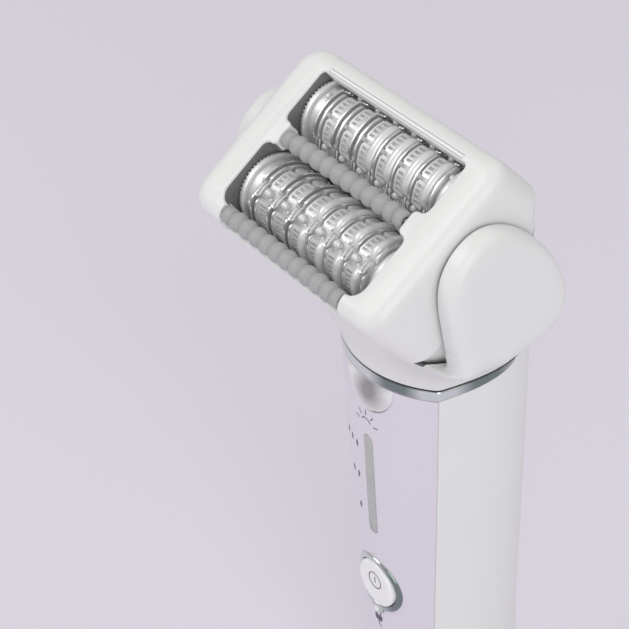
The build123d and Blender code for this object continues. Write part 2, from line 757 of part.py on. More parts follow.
def gear(teeth, at, phase, bore):
    """Spur gear with one tooth centred at the phase angle."""
    pitch = 2 * pi / teeth
    root = MODULE * teeth / 2 - DEDENDUM
    tip = MODULE * teeth / 2 + ADDENDUM
    points = []
    for tooth in range(teeth):
        middle = phase + tooth * pitch
        for radius, share in ((root, -ROOT_SHARE), (tip, -TIP_SHARE), (tip, TIP_SHARE), (root, ROOT_SHARE)):
            angle = middle + share * pitch
            points.append((at[0] + radius * cos(angle), at[1] + radius * sin(angle)))
    with BuildPart() as made:
        with BuildSketch(side(GEAR_X[0])):
            with BuildLine():
                Polyline(*points, close=True)
            make_face()
            with Locations(at):
                Circle(bore, mode=Mode.SUBTRACT)
        extrude(amount=GEAR_T)
    return made


def meshed_phase(teeth, at):
    """Phase that puts a gap of this gear over the idler's tooth."""
    line = atan2(at[1] - IDLER_AT[1], at[0] - IDLER_AT[0])
    return line + pi + line * IDLER_TEETH / teeth + pi / teeth


idler_gear = gear(IDLER_TEETH, IDLER_AT, 0.0, IDLER_PIN_R + RUN_FIT)
save(idler_gear, "idler_gear")
motor_pinion = gear(PINION_TEETH, MOTOR_AT, meshed_phase(PINION_TEETH, MOTOR_AT), MOTOR_SHAFT_R)
save(motor_pinion, "motor_pinion")

# ---------------------------------------------------------------- tweezer cylinders
STATIONS = 6
STATION_PITCH = 6.7
DRUM_R = 5.6
COLLAR_R = 7.0
BLADE_R = 7.6
BLADE_T = 0.4


def ring(at, x, length, outer, inner):
    """Flat ring across the head, added to the part being built."""
    with BuildSketch(side(x)) as drawn:
        with Locations(at):
            Circle(outer)
            Circle(inner, mode=Mode.SUBTRACT)
    extrude(drawn.sketch, amount=length)


for name in ("front", "rear"):
    axis_at = (CYL_A[name], CYL_B)
    station_x = [(k - (STATIONS - 1) / 2) * STATION_PITCH for k in range(STATIONS)]

    with BuildPart() as shaft:
        with BuildSketch(side(-26.9)):
            with Locations(axis_at):
                Circle(SHAFT_R)
        extrude(amount=26.9 + PLATE_X + PLATE_T + 0.6)
    save(shaft, f"{name}_shaft")

    with BuildPart() as drum:
        ring(axis_at, -CYL_X, 2 * CYL_X, DRUM_R, SHAFT_R)
        ring(axis_at, -CYL_X, 1.4, CYL_R, SHAFT_R)
        ring(axis_at, CYL_X - 1.4, 1.4, CYL_R, SHAFT_R)
        for x in station_x:
            ring(axis_at, x - 1.3, 2.6, COLLAR_R, SHAFT_R)
    save(drum, f"{name}_drum")

    with BuildPart() as tweezers:
        for x in station_x:
            for shift in (-2.0, -2.7, 1.6, 2.3):
                ring(axis_at, x + shift, BLADE_T, BLADE_R, DRUM_R)
    save(tweezers, f"{name}_tweezers")

    cylinder_gear = gear(CYL_TEETH, axis_at, meshed_phase(CYL_TEETH, axis_at), SHAFT_R)
    save(cylinder_gear, f"{name}_gear")

# ---------------------------------------------------------------- massage rollers
BEADS = 10
VALLEY_R = 1.55
END_R = 1.75


def roller(at):
    """Beaded roller bored for its axle."""
    bead_end = BEADS * ROLLER_PITCH / 2
    axis_origin = side(0).from_local_coords((at[0], at[1], 0))
    with BuildPart() as turned:
        with BuildSketch(Plane(origin=axis_origin, x_dir=(1, 0, 0), z_dir=ALONG)):
            with BuildLine():
                Polyline((bead_end, END_R), (ROLLER_X, END_R), (ROLLER_X, AXLE_R + RUN_FIT),
                         (-ROLLER_X, AXLE_R + RUN_FIT), (-ROLLER_X, END_R), (-bead_end, END_R),
                         (-bead_end, VALLEY_R))
                for k in range(BEADS):
                    x = -bead_end + k * ROLLER_PITCH
                    ThreePointArc((x, VALLEY_R), (x + ROLLER_PITCH / 2, ROLLER_R),
                                  (x + ROLLER_PITCH, VALLEY_R))
                Line((bead_end, VALLEY_R), (bead_end, END_R))
            make_face()
        revolve(axis=Axis(axis_origin, (1, 0, 0)))
    return turned


for name, at in (("middle", MID_ROLLER), ("front", FRONT_ROLLER)):
    save(roller(at), f"{name}_roller")
    with BuildPart() as axle:
        with BuildSketch(side(-21.1)):
            with Locations(at):
                Circle(AXLE_R)
        extrude(amount=42.2)
    save(axle, f"{name}_roller_axle")
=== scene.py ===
"""Looks of the epilator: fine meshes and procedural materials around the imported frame.

Lengths in this script are millimetres until a mesh is made; Blender's own are metres.
"""

import json
from math import acos, asin, cos, pi, radians, sin, sqrt, tan

import bmesh
import bpy
import numpy as np
from mathutils import Matrix, Vector


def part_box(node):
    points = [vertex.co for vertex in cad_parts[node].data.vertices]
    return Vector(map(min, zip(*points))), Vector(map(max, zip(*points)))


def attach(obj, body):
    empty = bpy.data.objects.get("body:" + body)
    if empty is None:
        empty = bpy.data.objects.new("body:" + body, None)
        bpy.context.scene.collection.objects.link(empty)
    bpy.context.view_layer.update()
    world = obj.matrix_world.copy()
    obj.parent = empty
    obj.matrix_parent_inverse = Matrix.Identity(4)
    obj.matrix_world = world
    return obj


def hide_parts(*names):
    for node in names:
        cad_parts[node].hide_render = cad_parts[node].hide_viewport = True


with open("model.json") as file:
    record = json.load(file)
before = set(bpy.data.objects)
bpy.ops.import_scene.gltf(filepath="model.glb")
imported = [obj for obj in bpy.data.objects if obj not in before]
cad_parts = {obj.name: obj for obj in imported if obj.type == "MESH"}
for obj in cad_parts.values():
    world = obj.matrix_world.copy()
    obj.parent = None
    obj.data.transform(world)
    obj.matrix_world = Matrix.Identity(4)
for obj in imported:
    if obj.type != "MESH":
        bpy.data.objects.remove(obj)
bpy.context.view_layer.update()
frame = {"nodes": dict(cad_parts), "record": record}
record = frame["record"]
MM = 0.001

# ---- places taken from the frame
JOINTS = {joint["name"]: joint for joint in record["behaviour"]["joints"]}


def joint_at(name):
    """Where a joint's axis crosses the middle plane, in millimetres."""
    return np.array(JOINTS[name]["pos_m"]) / MM


def node_box(name):
    """Lowest and highest corner of a CAD node, in millimetres."""
    low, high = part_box(name)
    return np.array(low) / MM, np.array(high) / MM


HINGE = joint_at("head_tilt")
AXIS_AT = {name: joint_at(f"{name}_cylinder_spin") for name in ("front", "rear")}
ROLLER_AT = {name: joint_at(f"{name}_roller_spin") for name in ("front", "middle")}
SIDEWAYS = np.array([1.0, 0.0, 0.0])
ALONG = AXIS_AT["rear"] - AXIS_AT["front"]
ALONG = ALONG / np.linalg.norm(ALONG)            # from the head's front to its rear
OUT = np.cross(SIDEWAYS, ALONG)                  # out of the head's face
ROLLER_MIDDLE = (np.dot(ROLLER_AT["middle"] - HINGE, ALONG), np.dot(ROLLER_AT["middle"] - HINGE, OUT))
ROLLER_FRONT = (np.dot(ROLLER_AT["front"] - HINGE, ALONG), np.dot(ROLLER_AT["front"] - HINGE, OUT))
ALONG_LEVEL, OUT_LEAN = ALONG[1], -OUT[1]        # level parts of the head's two directions
RING_Z = node_box("trim_ring")[1][2]
BASE_CAP = node_box("rear_housing")[0][2]
EAR_OUT = node_box("ear_cap_right")[1][0]
HEAD_X = node_box("head_frame")[1][0]
BUTTON_Z = float(np.mean([corner[2] for corner in node_box("power_button")]))
BUTTON_FACE_Y = node_box("power_button")[0][1]

# ---- driving dimensions
WALL = 1.6
SEAM = 0.12               # gap between neighbouring mouldings
GASKET = 0.50             # rubber line under the yoke
BAND = 2.4                # height of the chrome ring
PART_Y = -12.0            # where the panel meets the housing

# height, corner half width, corner y, front y, greatest half width, its y, back y
HANDLE_SECTIONS = [
    (0.0, 10.9, -12.0, -16.4, 13.2, 2.0, 15.2),
    (6.0, 11.5, -12.0, -16.7, 13.9, 2.2, 15.6),
    (40.0, 12.8, -12.0, -16.9, 14.9, 3.0, 16.2),
    (80.0, 14.4, -12.0, -17.6, 16.2, 3.6, 16.9),
    (RING_Z, 15.95, -12.0, -18.2, 17.4, 4.0, 17.5),
]
NECK_SECTIONS = [
    (RING_Z - 4.0, 15.2, -11.5, -17.8, 16.8, 4.6, 17.9),
    (RING_Z + GASKET, 15.95, -12.0, -18.2, 17.4, 4.0, 17.5),
    (RING_Z + 6.0, 18.8, -14.2, -19.6, 21.5, 1.0, 14.6),
    (RING_Z + 13.0, 26.0, -18.8, -22.3, 28.5, -3.5, 9.6),
    (RING_Z + 18.5, 32.2, -22.3, -24.3, 34.7, -6.4, 5.8),
]
EAR_POINTS = [(-11.0, -15.2), (-12.9, -3.0), (-12.4, 8.9), (-5.1, 14.5), (5.0, 10.9), (12.9, 0.4),
              (14.6, -7.8), (10.4, -15.2)]
EAR_IN = 30.3
EAR_EDGE = 2.6
EAR_POCKET = 2.6          # depth of the hollow behind each ear
CAP_X = 33.1
SADDLE_GAP = 0.8
VOXEL = 0.42              # grain of the yoke's remesh before it is smoothed
FAR = 40.0                # reach of cutting solids past the part
FRONT_LIP = -13.2         # edges of the yoke's hollow, below the tilt axis
REAR_LIP = -15.0

HEAD_HEIGHTS = (0.0, 5.0, 13.0, 18.0)
HEAD_FRONT = (-21.0, -21.5, -22.3, -22.3)        # reach of the head along its face at those heights
HEAD_REAR = (14.9, 18.4, 17.6, 16.9)
HEAD_CORNER = 5.2
HEAD_WALL = 1.2
HEAD_EDGE = 3.0           # rounding of the head's top edge
FACE = 18.0               # face of the head above the tilt axis
FRONT_TAPER = 0.015       # the head narrows by this share towards its front
WINDOW_X = 21.7
LOW_WINDOW = (-18.6, -4.2)
HIGH_WINDOW = (1.1, 12.9)
TONGUE_X = 18.9           # tips of the tongues that carry the middle roller
LIP = 0.5                 # rounding of the windows' edges
STRIP_A = (13.3, 14.1)
BELLY_R = 20.7
BELLY_END_R = 9.5
BELLY_ROUND = 12.0
BELLY_BACK = 12.2         # upright rear wall of the belly, behind the tilt axis

BUTTON_R = 5.8
BEZEL_R = 7.2
LOBE_R = 1.9
LENS_SIZE = (7.6, 8.2)
LENS_Z = RING_Z - 2.6
SLOT_Z = RING_Z - 31.2
SLOT_SIZE = (1.4, 13.4)   # half width and half height of the speed display
INSERT_GAP = 0.06         # round the inserts of the panel
INK_LIFT = 0.035          # printed marks over their surface
INK_DEPTH = 0.05


# ---- curves
def turns(steps):
    """Angles of a full turn."""
    return np.linspace(0, 2 * pi, steps, endpoint=False)


def round_over(top, radius, steps):
    """(height, inset) levels of a rounded top edge, without the first."""
    return [(top - radius + radius * sin(t), radius * (1 - cos(t)))
            for t in np.linspace(0, pi / 2, steps)[1:]]


def spline(knots, values, at):
    """Natural cubic spline through the values at the knots, read at many places."""
    knots = np.asarray(knots, float)
    values = np.asarray(values, float).reshape(len(knots), -1)
    gaps = np.diff(knots)
    count = len(knots)
    system = np.eye(count)
    right = np.zeros_like(values)
    for i in range(1, count - 1):
        system[i, i - 1:i + 2] = gaps[i - 1], 2 * (gaps[i - 1] + gaps[i]), gaps[i]
        right[i] = 6 * ((values[i + 1] - values[i]) / gaps[i] - (values[i] - values[i - 1]) / gaps[i - 1])
    bend = np.linalg.solve(system, right)
    at = np.clip(np.asarray(at, float), knots[0], knots[-1])
    low = np.clip(np.searchsorted(knots, at) - 1, 0, count - 2)
    span = gaps[low][:, None]
    after = (at - knots[low])[:, None]
    ahead = span - after
    return ((bend[low] * ahead ** 3 + bend[low + 1] * after ** 3) / (6 * span)
            + (values[low] / span - bend[low] * span / 6) * ahead
            + (values[low + 1] / span - bend[low + 1] * span / 6) * after)


def curve_through(points, steps):
    """Smooth open curve through the points, evenly read by length."""
    points = np.asarray(points, float)
    knots = np.concatenate([[0], np.cumsum(np.linalg.norm(np.diff(points, axis=0), axis=1))])
    return spline(knots, points, np.linspace(0, knots[-1], steps))


def rounded(points, radii, steps=8):
    """Closed outline of straight sides whose corners are arcs."""
    made = []
    for i, (point, radius) in enumerate(zip(points, radii)):
        point = np.array(point, float)
        back = np.array(points[i - 1], float) - point
        ahead = np.array(points[(i + 1) % len(points)], float) - point
        back /= np.linalg.norm(back)
        ahead /= np.linalg.norm(ahead)
        half = acos(float(np.dot(back, ahead))) / 2
        centre = point + (back + ahead) / np.linalg.norm(back + ahead) * radius / sin(half)
        start = point + back * radius / tan(half) - centre
        stop = point + ahead * radius / tan(half) - centre
        for share in np.linspace(0, 1, steps + 1):
            reach = start * (1 - share) + stop * share
            made.append(centre + reach * radius / np.linalg.norm(reach))
    return np.array(made)


def box_outline(half_x, low, high, radius, steps=8):
    """Rounded rectangle, anticlockwise."""
    corners = [(-half_x, low), (half_x, low), (half_x, high), (-half_x, high)]
    return rounded(corners, [radius] * 4, steps)


def ellipse_outline(centre, half_x, half_z, steps):
    """Ellipse, anticlockwise."""
    turn = turns(steps)
    return np.stack([centre[0] + half_x * np.cos(turn), centre[1] + half_z * np.sin(turn)], axis=1)


def grown(outline, distance):
    """Closed anticlockwise outline moved outwards by a small distance."""
    ahead = np.roll(outline, -1, axis=0) - outline
    length = np.linalg.norm(ahead, axis=1)[:, None]
    normal = np.stack([ahead[:, 1], -ahead[:, 0]], axis=1) / np.maximum(length, 1e-9)
    normal = normal + np.roll(normal, 1, axis=0)
    normal /= np.maximum(np.linalg.norm(normal, axis=1)[:, None], 1e-9)
    return outline + normal * distance


# ---- mesh tools
class Shape:
    """Gathers vertices and faces in millimetres before they become one mesh."""

    def __init__(self):
        self.verts = []
        self.faces = []

    def loft(self, rings, closed=False):
        """Skin over closed rings of equal length, with flat ends unless the run is closed."""
        start = sum(len(block) for block in self.verts)
        count = len(rings[0])
        self.verts.extend(np.asarray(ring, float) for ring in rings)
        last = len(rings) if closed else len(rings) - 1
        for i in range(last):
            here = start + i * count
            there = start + (i + 1) % len(rings) * count
            for j in range(count):
                k = (j + 1) % count
                self.faces.append((here + j, here + k, there + k, there + j))
        if not closed:
            self.faces.append(tuple(start + j for j in reversed(range(count))))
            self.faces.append(tuple(start + (len(rings) - 1) * count + j for j in range(count)))
        return self

    def grid(self, rows):
        """Open skin over rows of equal length."""
        start = sum(len(block) for block in self.verts)
        count = len(rows[0])
        self.verts.extend(np.asarray(row, float) for row in rows)
        for i in range(len(rows) - 1):
            here = start + i * count
            for j in range(count - 1):
                self.faces.append((here + j, here + j + 1, here + count + j + 1, here + count + j))
        return self

    def object(self, name):
        """Blender object of the gathered mesh, normals outwards."""
        mesh = bpy.data.meshes.new(name)
        verts = np.concatenate(self.verts) * MM
        mesh.from_pydata(verts.tolist(), [], self.faces)
        work = bmesh.new()
        work.from_mesh(mesh)
        bmesh.ops.recalc_face_normals(work, faces=work.faces)
        work.to_mesh(mesh)
        work.free()
        made = bpy.data.objects.new(name, mesh)
        bpy.context.collection.objects.link(made)
        return made


def settle(thing):
    """Turns an object's modifiers into its mesh."""
    bpy.context.view_layer.update()
    graph = bpy.context.evaluated_depsgraph_get()
    mesh = bpy.data.meshes.new_from_object(thing.evaluated_get(graph))
    thing.modifiers.clear()
    thing.data = mesh


def combine(thing, other, how="DIFFERENCE"):
    """Boolean of two solids; the second is used up."""
    modifier = thing.modifiers.new("combine", "BOOLEAN")
    modifier.object = other
    modifier.operation = how
    modifier.solver = "EXACT"
    settle(thing)
    bpy.data.objects.remove(other)


def copy_of(thing, name):
    """Second object with its own mesh."""
    made = thing.copy()
    made.data = thing.data.copy()
    made.name = name
    bpy.context.collection.objects.link(made)
    return made


def bevel(thing, width):
    """Softens an object's sharp edges."""
    modifier = thing.modifiers.new("bevel", "BEVEL")
    modifier.width = width * MM
    modifier.segments = 2
    modifier.limit_method = "ANGLE"
    modifier.angle_limit = radians(40)
    settle(thing)


def finish(thing, material, body, nodes, angle=38.0):
    """Shading, material, motion and bookkeeping of one piece."""
    for face in thing.data.polygons:
        face.use_smooth = True
    thing.data.set_sharp_from_angle(angle=radians(angle))
    thing.data.materials.clear()
    thing.data.materials.append(material)
    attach(thing, body)
    if nodes:
        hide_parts(*nodes)
    return thing


def head_point(x, a, b):
    """Point given along the head's own axes."""
    return HINGE + SIDEWAYS * x + ALONG * a + OUT * b


def prism(name, outline, low, high, place):
    """Straight solid of a flat outline; place(u, v, depth) gives its points."""
    return Shape().loft([[place(u, v, depth) for u, v in outline] for depth in (low, high)]).object(name)


def head_prism(name, outline, low, high):
    """Prism square to the head's face; the outline is (x, a)."""
    return prism(name, outline, low, high, head_point)


def front_prism(name, outline):
    """Prism that cuts through the front panel; the outline is (x, z)."""
    return prism(name, outline, -FAR, 0.0, lambda x, z, y: np.array([x, y, z]))


def side_prism(name, outline, low, high):
    """Prism across the object; the outline is (y, z)."""
    return prism(name, outline, low, high, lambda y, z, x: np.array([x, y, z]))


def lathe(shape, profile, axis_at, steps):
    """Closed (x, radius) profile turned about an axis that runs across."""
    rings = []
    for turn in turns(steps):
        spoke = ALONG * cos(turn) + OUT * sin(turn)
        rings.append([axis_at + SIDEWAYS * x + spoke * r for x, r in profile])
    return shape.loft(rings, closed=True)


# ---- handle shapes
FRONT_STEPS = 49
REAR_STEPS = 121


def section(sections, z):
    """Handle section values at any height."""
    return spline([s[0] for s in sections], [s[1:] for s in sections], [z])[0]


def front_bow(sections, z, inset=0.0):
    """Half width, foremost y and radius of a section's bowed front."""
    corner_x, corner_y, front = section(sections, z)[:3]
    corner_x -= inset
    front += inset
    bow = corner_y - front
    return corner_x, front, (corner_x ** 2 + bow ** 2) / (2 * bow)


def front_arc(sections, z, inset=0.0):
    """Bowed front of a section, left to right."""
    corner_x, front, radius = front_bow(sections, z, inset)
    reach = asin(corner_x / radius)
    turn = np.linspace(-reach, reach, FRONT_STEPS)
    return np.stack([radius * np.sin(turn), front + radius * (1 - np.cos(turn))], axis=1)


def rear_curve(sections, z, inset=0.0):
    """Smooth rear of a section, from the right corner round to the left one."""
    corner_x, corner_y, _, wide_x, wide_y, back = section(sections, z)
    corner_x -= inset
    wide_x -= inset
    back -= inset
    quarter = (0.76 * wide_x, wide_y + 0.70 * (back - wide_y))
    half = [(corner_x, corner_y), (wide_x, wide_y), quarter, (0, back)]
    mirrored = [(-x, y) for x, y in reversed(half[:-1])]
    return curve_through(half + mirrored, REAR_STEPS)


def whole_outline(sections, z, inset=0.0):
    """Whole closed section as points in space."""
    flat = np.concatenate([front_arc(sections, z, inset)[:-1], rear_curve(sections, z, inset)[:-1]])
    return np.column_stack([flat, np.full(len(flat), z)])


def front_y(x, z):
    """Y of the panel's outer surface."""
    front, radius = front_bow(HANDLE_SECTIONS, z)[1:]
    return front + radius - sqrt(radius ** 2 - x ** 2)


def handle_wall(name, curve, low, high):
    """Wall of the handle along one part of its section."""
    rings = []
    for z in np.linspace(low, high, 60):
        flat = np.concatenate([curve(HANDLE_SECTIONS, z), curve(HANDLE_SECTIONS, z, WALL)[::-1]])
        rings.append(np.column_stack([flat, np.full(len(flat), z)]))
    return Shape().loft(rings).object(name)


def lens_outline(grow=0.0):
    """U of the lamp window: lower part of an ellipse, cut off under the chrome ring."""
    half_x, half_z = LENS_SIZE[0] + grow, LENS_SIZE[1] + grow
    turn = np.linspace(pi, 2 * pi, 49)
    curve = np.stack([half_x * np.cos(turn), LENS_Z + half_z * np.sin(turn)], axis=1)
    return curve[curve[:, 1] <= RING_Z - BAND - SEAM]


def slot_outline(grow=0.0):
    """Upright stadium of the speed display."""
    half_x, half_z = SLOT_SIZE[0] + grow, SLOT_SIZE[1] + grow
    return box_outline(half_x, SLOT_Z - half_z, SLOT_Z + half_z, half_x - 0.001, 12)


def bezel_outline(grow=0.0):
    """Round switch surround with a small lobe below it."""
    radius, lobe = BEZEL_R + grow, LOBE_R + grow
    lobe_z = BUTTON_Z - BEZEL_R + 0.3
    offset = lobe_z - BUTTON_Z
    made = []
    for turn in turns(144):
        direction = np.array([sin(turn), -cos(turn)])
        reach = radius
        across = direction[1] * offset
        inside = lobe ** 2 - offset ** 2 + across ** 2
        if inside > 0:
            reach = max(reach, across + sqrt(inside))
        made.append((direction[0] * reach, BUTTON_Z + direction[1] * reach))
    return np.array(made)


def panel_plate(name, outline, lifts, back=2.4):
    """Insert in the panel: rings shrink inwards over the panel's curve.

    lifts lists (inset, height over the panel) from the edge to the middle.
    """
    centre = outline.mean(axis=0)
    rings = [[np.array([x, front_y(x, z) + back, z]) for x, z in outline]]
    for inset, lift in lifts:
        ring = grown(outline, -inset) if inset < 1.0 else centre + (outline - centre) * (1 - inset / 10)
        rings.append([np.array([x, front_y(x, z) - lift, z]) for x, z in ring])
    return Shape().loft(rings).object(name)


# ---- handle pieces
def wedge_region(name, upper):
    """Space in front of (or behind) the chrome ring's slanted ends, as a prism across."""
    start, reach = PART_Y - 1.0, 19.6
    edge = [(start + reach * sin(t), RING_Z - BAND * cos(t)) for t in np.linspace(0, pi / 2, 25)]
    low, high, rear = RING_Z - 9, RING_Z + 9, 60
    if upper:
        points = [(-FAR, edge[0][1])] + edge + [(edge[-1][0], high), (-FAR, high)]
    else:
        edge = [(y, z + SEAM) for y, z in edge]
        points = [(start, low)] + edge + [(edge[-1][0], high), (rear, high), (rear, low)]
    return side_prism(name, points, -FAR, FAR)


def build_handle():
    """Lilac panel, white housing, chrome ring, rubber line and the panel's inserts."""
    top = RING_Z - BAND - SEAM
    panel = handle_wall("panel_shell", front_arc, BASE_CAP + SEAM, top)
    bevel(panel, 0.18)
    for outline in (lens_outline, slot_outline, bezel_outline):
        combine(panel, front_prism("cut", outline(INSERT_GAP)))
    finish(panel, LILAC, "handle", ["front_panel"])

    housing = handle_wall("housing_shell", rear_curve_seamed, BASE_CAP + SEAM, RING_Z)
    bevel(housing, 0.18)
    combine(housing, wedge_region("cut", True))
    finish(housing, WHITE, "handle", ["rear_housing"])

    low = RING_Z - BAND
    outer = [(0.0, 0.10), (0.15, -0.02), (0.6, -0.10), (1.2, -0.14), (1.8, -0.10), (2.25, -0.02),
             (BAND, 0.10)]
    rings = [whole_outline(HANDLE_SECTIONS, low + up, inset) for up, inset in outer]
    rings += [whole_outline(HANDLE_SECTIONS, z, WALL - 0.1) for z in (RING_Z, low)]
    band = Shape().loft(rings, closed=True).object("chrome_band")
    combine(band, wedge_region("cut", False))
    finish(band, CHROME, "handle", ["trim_ring"], 50)

    rings = [whole_outline(HANDLE_SECTIONS, RING_Z, inset) + (0, 0, up)
             for inset, up in ((0.14, 0), (0.04, 0.5 * GASKET), (0.14, GASKET), (WALL, GASKET), (WALL, 0))]
    seal = Shape().loft(rings, closed=True).object("neck_seal")
    finish(seal, RUBBER, "handle", ["neck_gasket"])

    lens = panel_plate("lamp_window", lens_outline(),
                       [(0.0, -0.25), (0.12, -0.02), (0.45, 0.14), (1.5, 0.34), (3.5, 0.52), (6.0, 0.62),
                        (8.5, 0.66)])
    finish(lens, LENS, "handle", ["light_lens"], 60)

    display = panel_plate("speed_display", slot_outline(),
                          [(0.0, -0.2), (0.05, 0.02), (0.14, 0.1), (4.0, 0.12), (8.5, 0.12)])
    finish(display, DISPLAY, "handle", ["speed_window"], 60)


def rear_curve_seamed(sections, z, inset=0.0):
    """Rear curve drawn back from the panel's seam by the gap."""
    curve = rear_curve(sections, z, inset).copy()
    curve[0, 1] += SEAM
    curve[-1, 1] += SEAM
    return curve


def dome(name, levels, middle_z, steps):
    """Turned solid that faces the front, from its (radius, y) levels."""
    rings = [[(radius * cos(t), y, middle_z + radius * sin(t)) for t in turns(steps)] for radius, y in levels]
    return Shape().loft(rings).object(name)


def build_switch():
    """Chrome surround with its lobe, charge lamp and the domed white button."""
    outline = bezel_outline()
    fit = BUTTON_R + 0.08
    hole = []
    for x, z in outline:
        away = np.hypot(x, z - BUTTON_Z)
        hole.append((x * fit / away, BUTTON_Z + (z - BUTTON_Z) * fit / away))
    hole = np.array(hole)
    rings = []
    for share, lift in ((0, -1.2), (0, 0.05), (0.06, 0.22), (0.2, 0.42), (0.42, 0.56), (0.66, 0.56),
                        (0.86, 0.42), (0.97, 0.2), (1, -1.2)):
        flat = outline * (1 - share) + hole * share
        rings.append([np.array([x, front_y(x, z) - lift, z]) for x, z in flat])
    surround = Shape().loft(rings, closed=True).object("switch_surround")
    finish(surround, CHROME, "handle", ["button_bezel"], 60)

    lamp_z = BUTTON_Z - BEZEL_R - 0.35
    face = front_y(0, lamp_z)
    levels = [(radius, face - lift)
              for radius, lift in ((0.8, 0.3), (0.8, 0.62), (0.68, 0.72), (0.4, 0.78), (0.12, 0.8))]
    finish(dome("charge_light", levels, lamp_z, 32), LENS, "handle", ["charge_lamp"], 60)

    levels = [(BUTTON_R - inset, BUTTON_FACE_Y + depth)
              for inset, depth in ((0.06, 2.2), (0.06, 0.55), (0.16, 0.28), (0.4, 0.1), (0.8, 0.02))]
    levels += [(radius, BUTTON_FACE_Y + depth)
               for radius, depth in ((4.2, 0.0), (3.0, 0.05), (1.6, 0.12), (0.5, 0.15))]
    finish(dome("power_key", levels, BUTTON_Z, 96), KEY, "button", ["power_button"], 60)

    shape = Shape()
    stroke(shape, [(2.0 * sin(t), BUTTON_Z + 0.9 + 2.0 * cos(t)) for t in np.linspace(0, 2 * pi, 49)[:-1]],
           0.22, button_skin, closed=True)
    stroke(shape, [(0.0, BUTTON_Z + 0.1), (0.0, BUTTON_Z + 1.9)], 0.22, button_skin)
    finish(shape.object("power_mark"), PRINT, "button", [])


def button_skin(x, z):
    """Point just over the button's face."""
    away = np.hypot(x, z - BUTTON_Z)
    return np.array([x, BUTTON_FACE_Y + 0.16 - 0.04 * min(away, 4.2) - INK_LIFT, z])


def panel_skin(x, z):
    """Point just over the front panel."""
    return np.array([x, front_y(x, z) - INK_LIFT, z])


def stroke(shape, points, width, skin, closed=False):
    """Thin printed line that follows a skin."""
    points = np.asarray(points, float)
    if closed:
        ahead = np.roll(points, -1, axis=0) - np.roll(points, 1, axis=0)
    else:
        if len(points) == 2:
            steps = max(2, int(np.linalg.norm(points[1] - points[0]) / 0.6) + 1)
            points = np.linspace(points[0], points[1], steps)
        ahead = np.gradient(points, axis=0)
    ahead /= np.linalg.norm(ahead, axis=1)[:, None]
    across = np.stack([ahead[:, 1], -ahead[:, 0]], axis=1) * width / 2
    depth = np.array([0, INK_DEPTH, 0])
    rings = []
    for point, side in zip(points, across):
        left, right = skin(*(point - side)), skin(*(point + side))
        rings.append([left, right, right + depth, left + depth])
    shape.loft(rings, closed=closed)


def blot(shape, outline, skin):
    """Thin printed patch that follows a skin."""
    top = [skin(x, z) for x, z in outline]
    shape.loft([top, [point + (0, INK_DEPTH, 0) for point in top]])


def build_marks():
    """Generic printed signs on the panel: lamp rays, speed drops and a mains plug."""
    shape = Shape()
    middle = np.array([-0.4, RING_Z - 15.0])
    arc = np.linspace(radians(25), radians(155), 17)
    stroke(shape, [middle + 1.5 * np.array([cos(t), sin(t)]) for t in arc], 0.24, panel_skin)
    for angle in (8, 49, 90, 131, 172):
        ray = np.array([cos(radians(angle)), sin(radians(angle))])
        stroke(shape, [middle + 2.3 * ray, middle + 3.6 * ray], 0.24, panel_skin)
    for down, places in ((23.0, (-9.4, -7.0, -4.6)), (31.5, (-7.0, -4.6)), (40.0, (-4.6,))):
        for x in places:
            blot(shape, ellipse_outline((x, RING_Z - down), 0.42, 0.85, 20), panel_skin)
    plug_z = RING_Z - 69.6
    body = rounded([(-1.1, plug_z - 1.0), (1.1, plug_z - 1.0), (1.3, plug_z + 0.6), (-1.3, plug_z + 0.6)],
                   [0.6, 0.6, 0.2, 0.2], 4)
    blot(shape, body, panel_skin)
    for x in (-0.65, 0.65):
        stroke(shape, [(x, plug_z + 0.5), (x, plug_z + 1.6)], 0.34, panel_skin)
    stroke(shape, curve_through([(0, plug_z - 0.9), (0.1, plug_z - 1.8), (0.9, plug_z - 2.4)], 9), 0.28,
           panel_skin)
    finish(shape.object("panel_marks"), PRINT, "handle", [])


# ---- yoke
def ear_outline():
    """Ear seen from the side, (y, z) from the tilt axis, anticlockwise."""
    return curve_through(EAR_POINTS, 97)[::-1]


def ear_solid(side_sign):
    """Ear with a soft outer edge, reaching down into the neck."""
    outline = ear_outline()
    rings = []
    reach = [(EAR_IN - 1.0, 0.0), (EAR_OUT - EAR_EDGE, 0.0)]
    reach += round_over(EAR_OUT, EAR_EDGE, 9)
    for x, inset in reach:
        ring = grown(outline, -inset)
        rings.append([HINGE + np.array([side_sign * x, y, z]) for y, z in ring])
    return Shape().loft(rings).object("ear")


def barrel_radius(x, inset=0.0):
    """Radius of the belly at a distance from the middle plane."""
    flat = HEAD_X - inset - BELLY_ROUND
    share = np.clip((np.abs(x) - flat) / BELLY_ROUND, 0, 1)
    return BELLY_END_R - inset + (BELLY_R - BELLY_END_R) * np.sqrt(1 - share ** 2)


def barrel_places(inset=0.0):
    """Places along the belly, closer together in its rounded ends."""
    end = HEAD_X - inset
    flat = end - BELLY_ROUND
    rise = flat + BELLY_ROUND * np.sin(np.linspace(0, pi / 2, 17))
    middle = np.linspace(-flat, flat, 12)[1:-1]
    return np.concatenate([-rise[::-1], middle, rise])


def barrel_solid(inset):
    """The belly's full barrel."""
    rings = []
    for x in barrel_places(inset):
        radius = barrel_radius(x, inset)
        rings.append([HINGE + SIDEWAYS * x + radius * (ALONG * cos(t) + OUT * sin(t))
                      for t in turns(128)])
    return Shape().loft(rings).object("barrel")


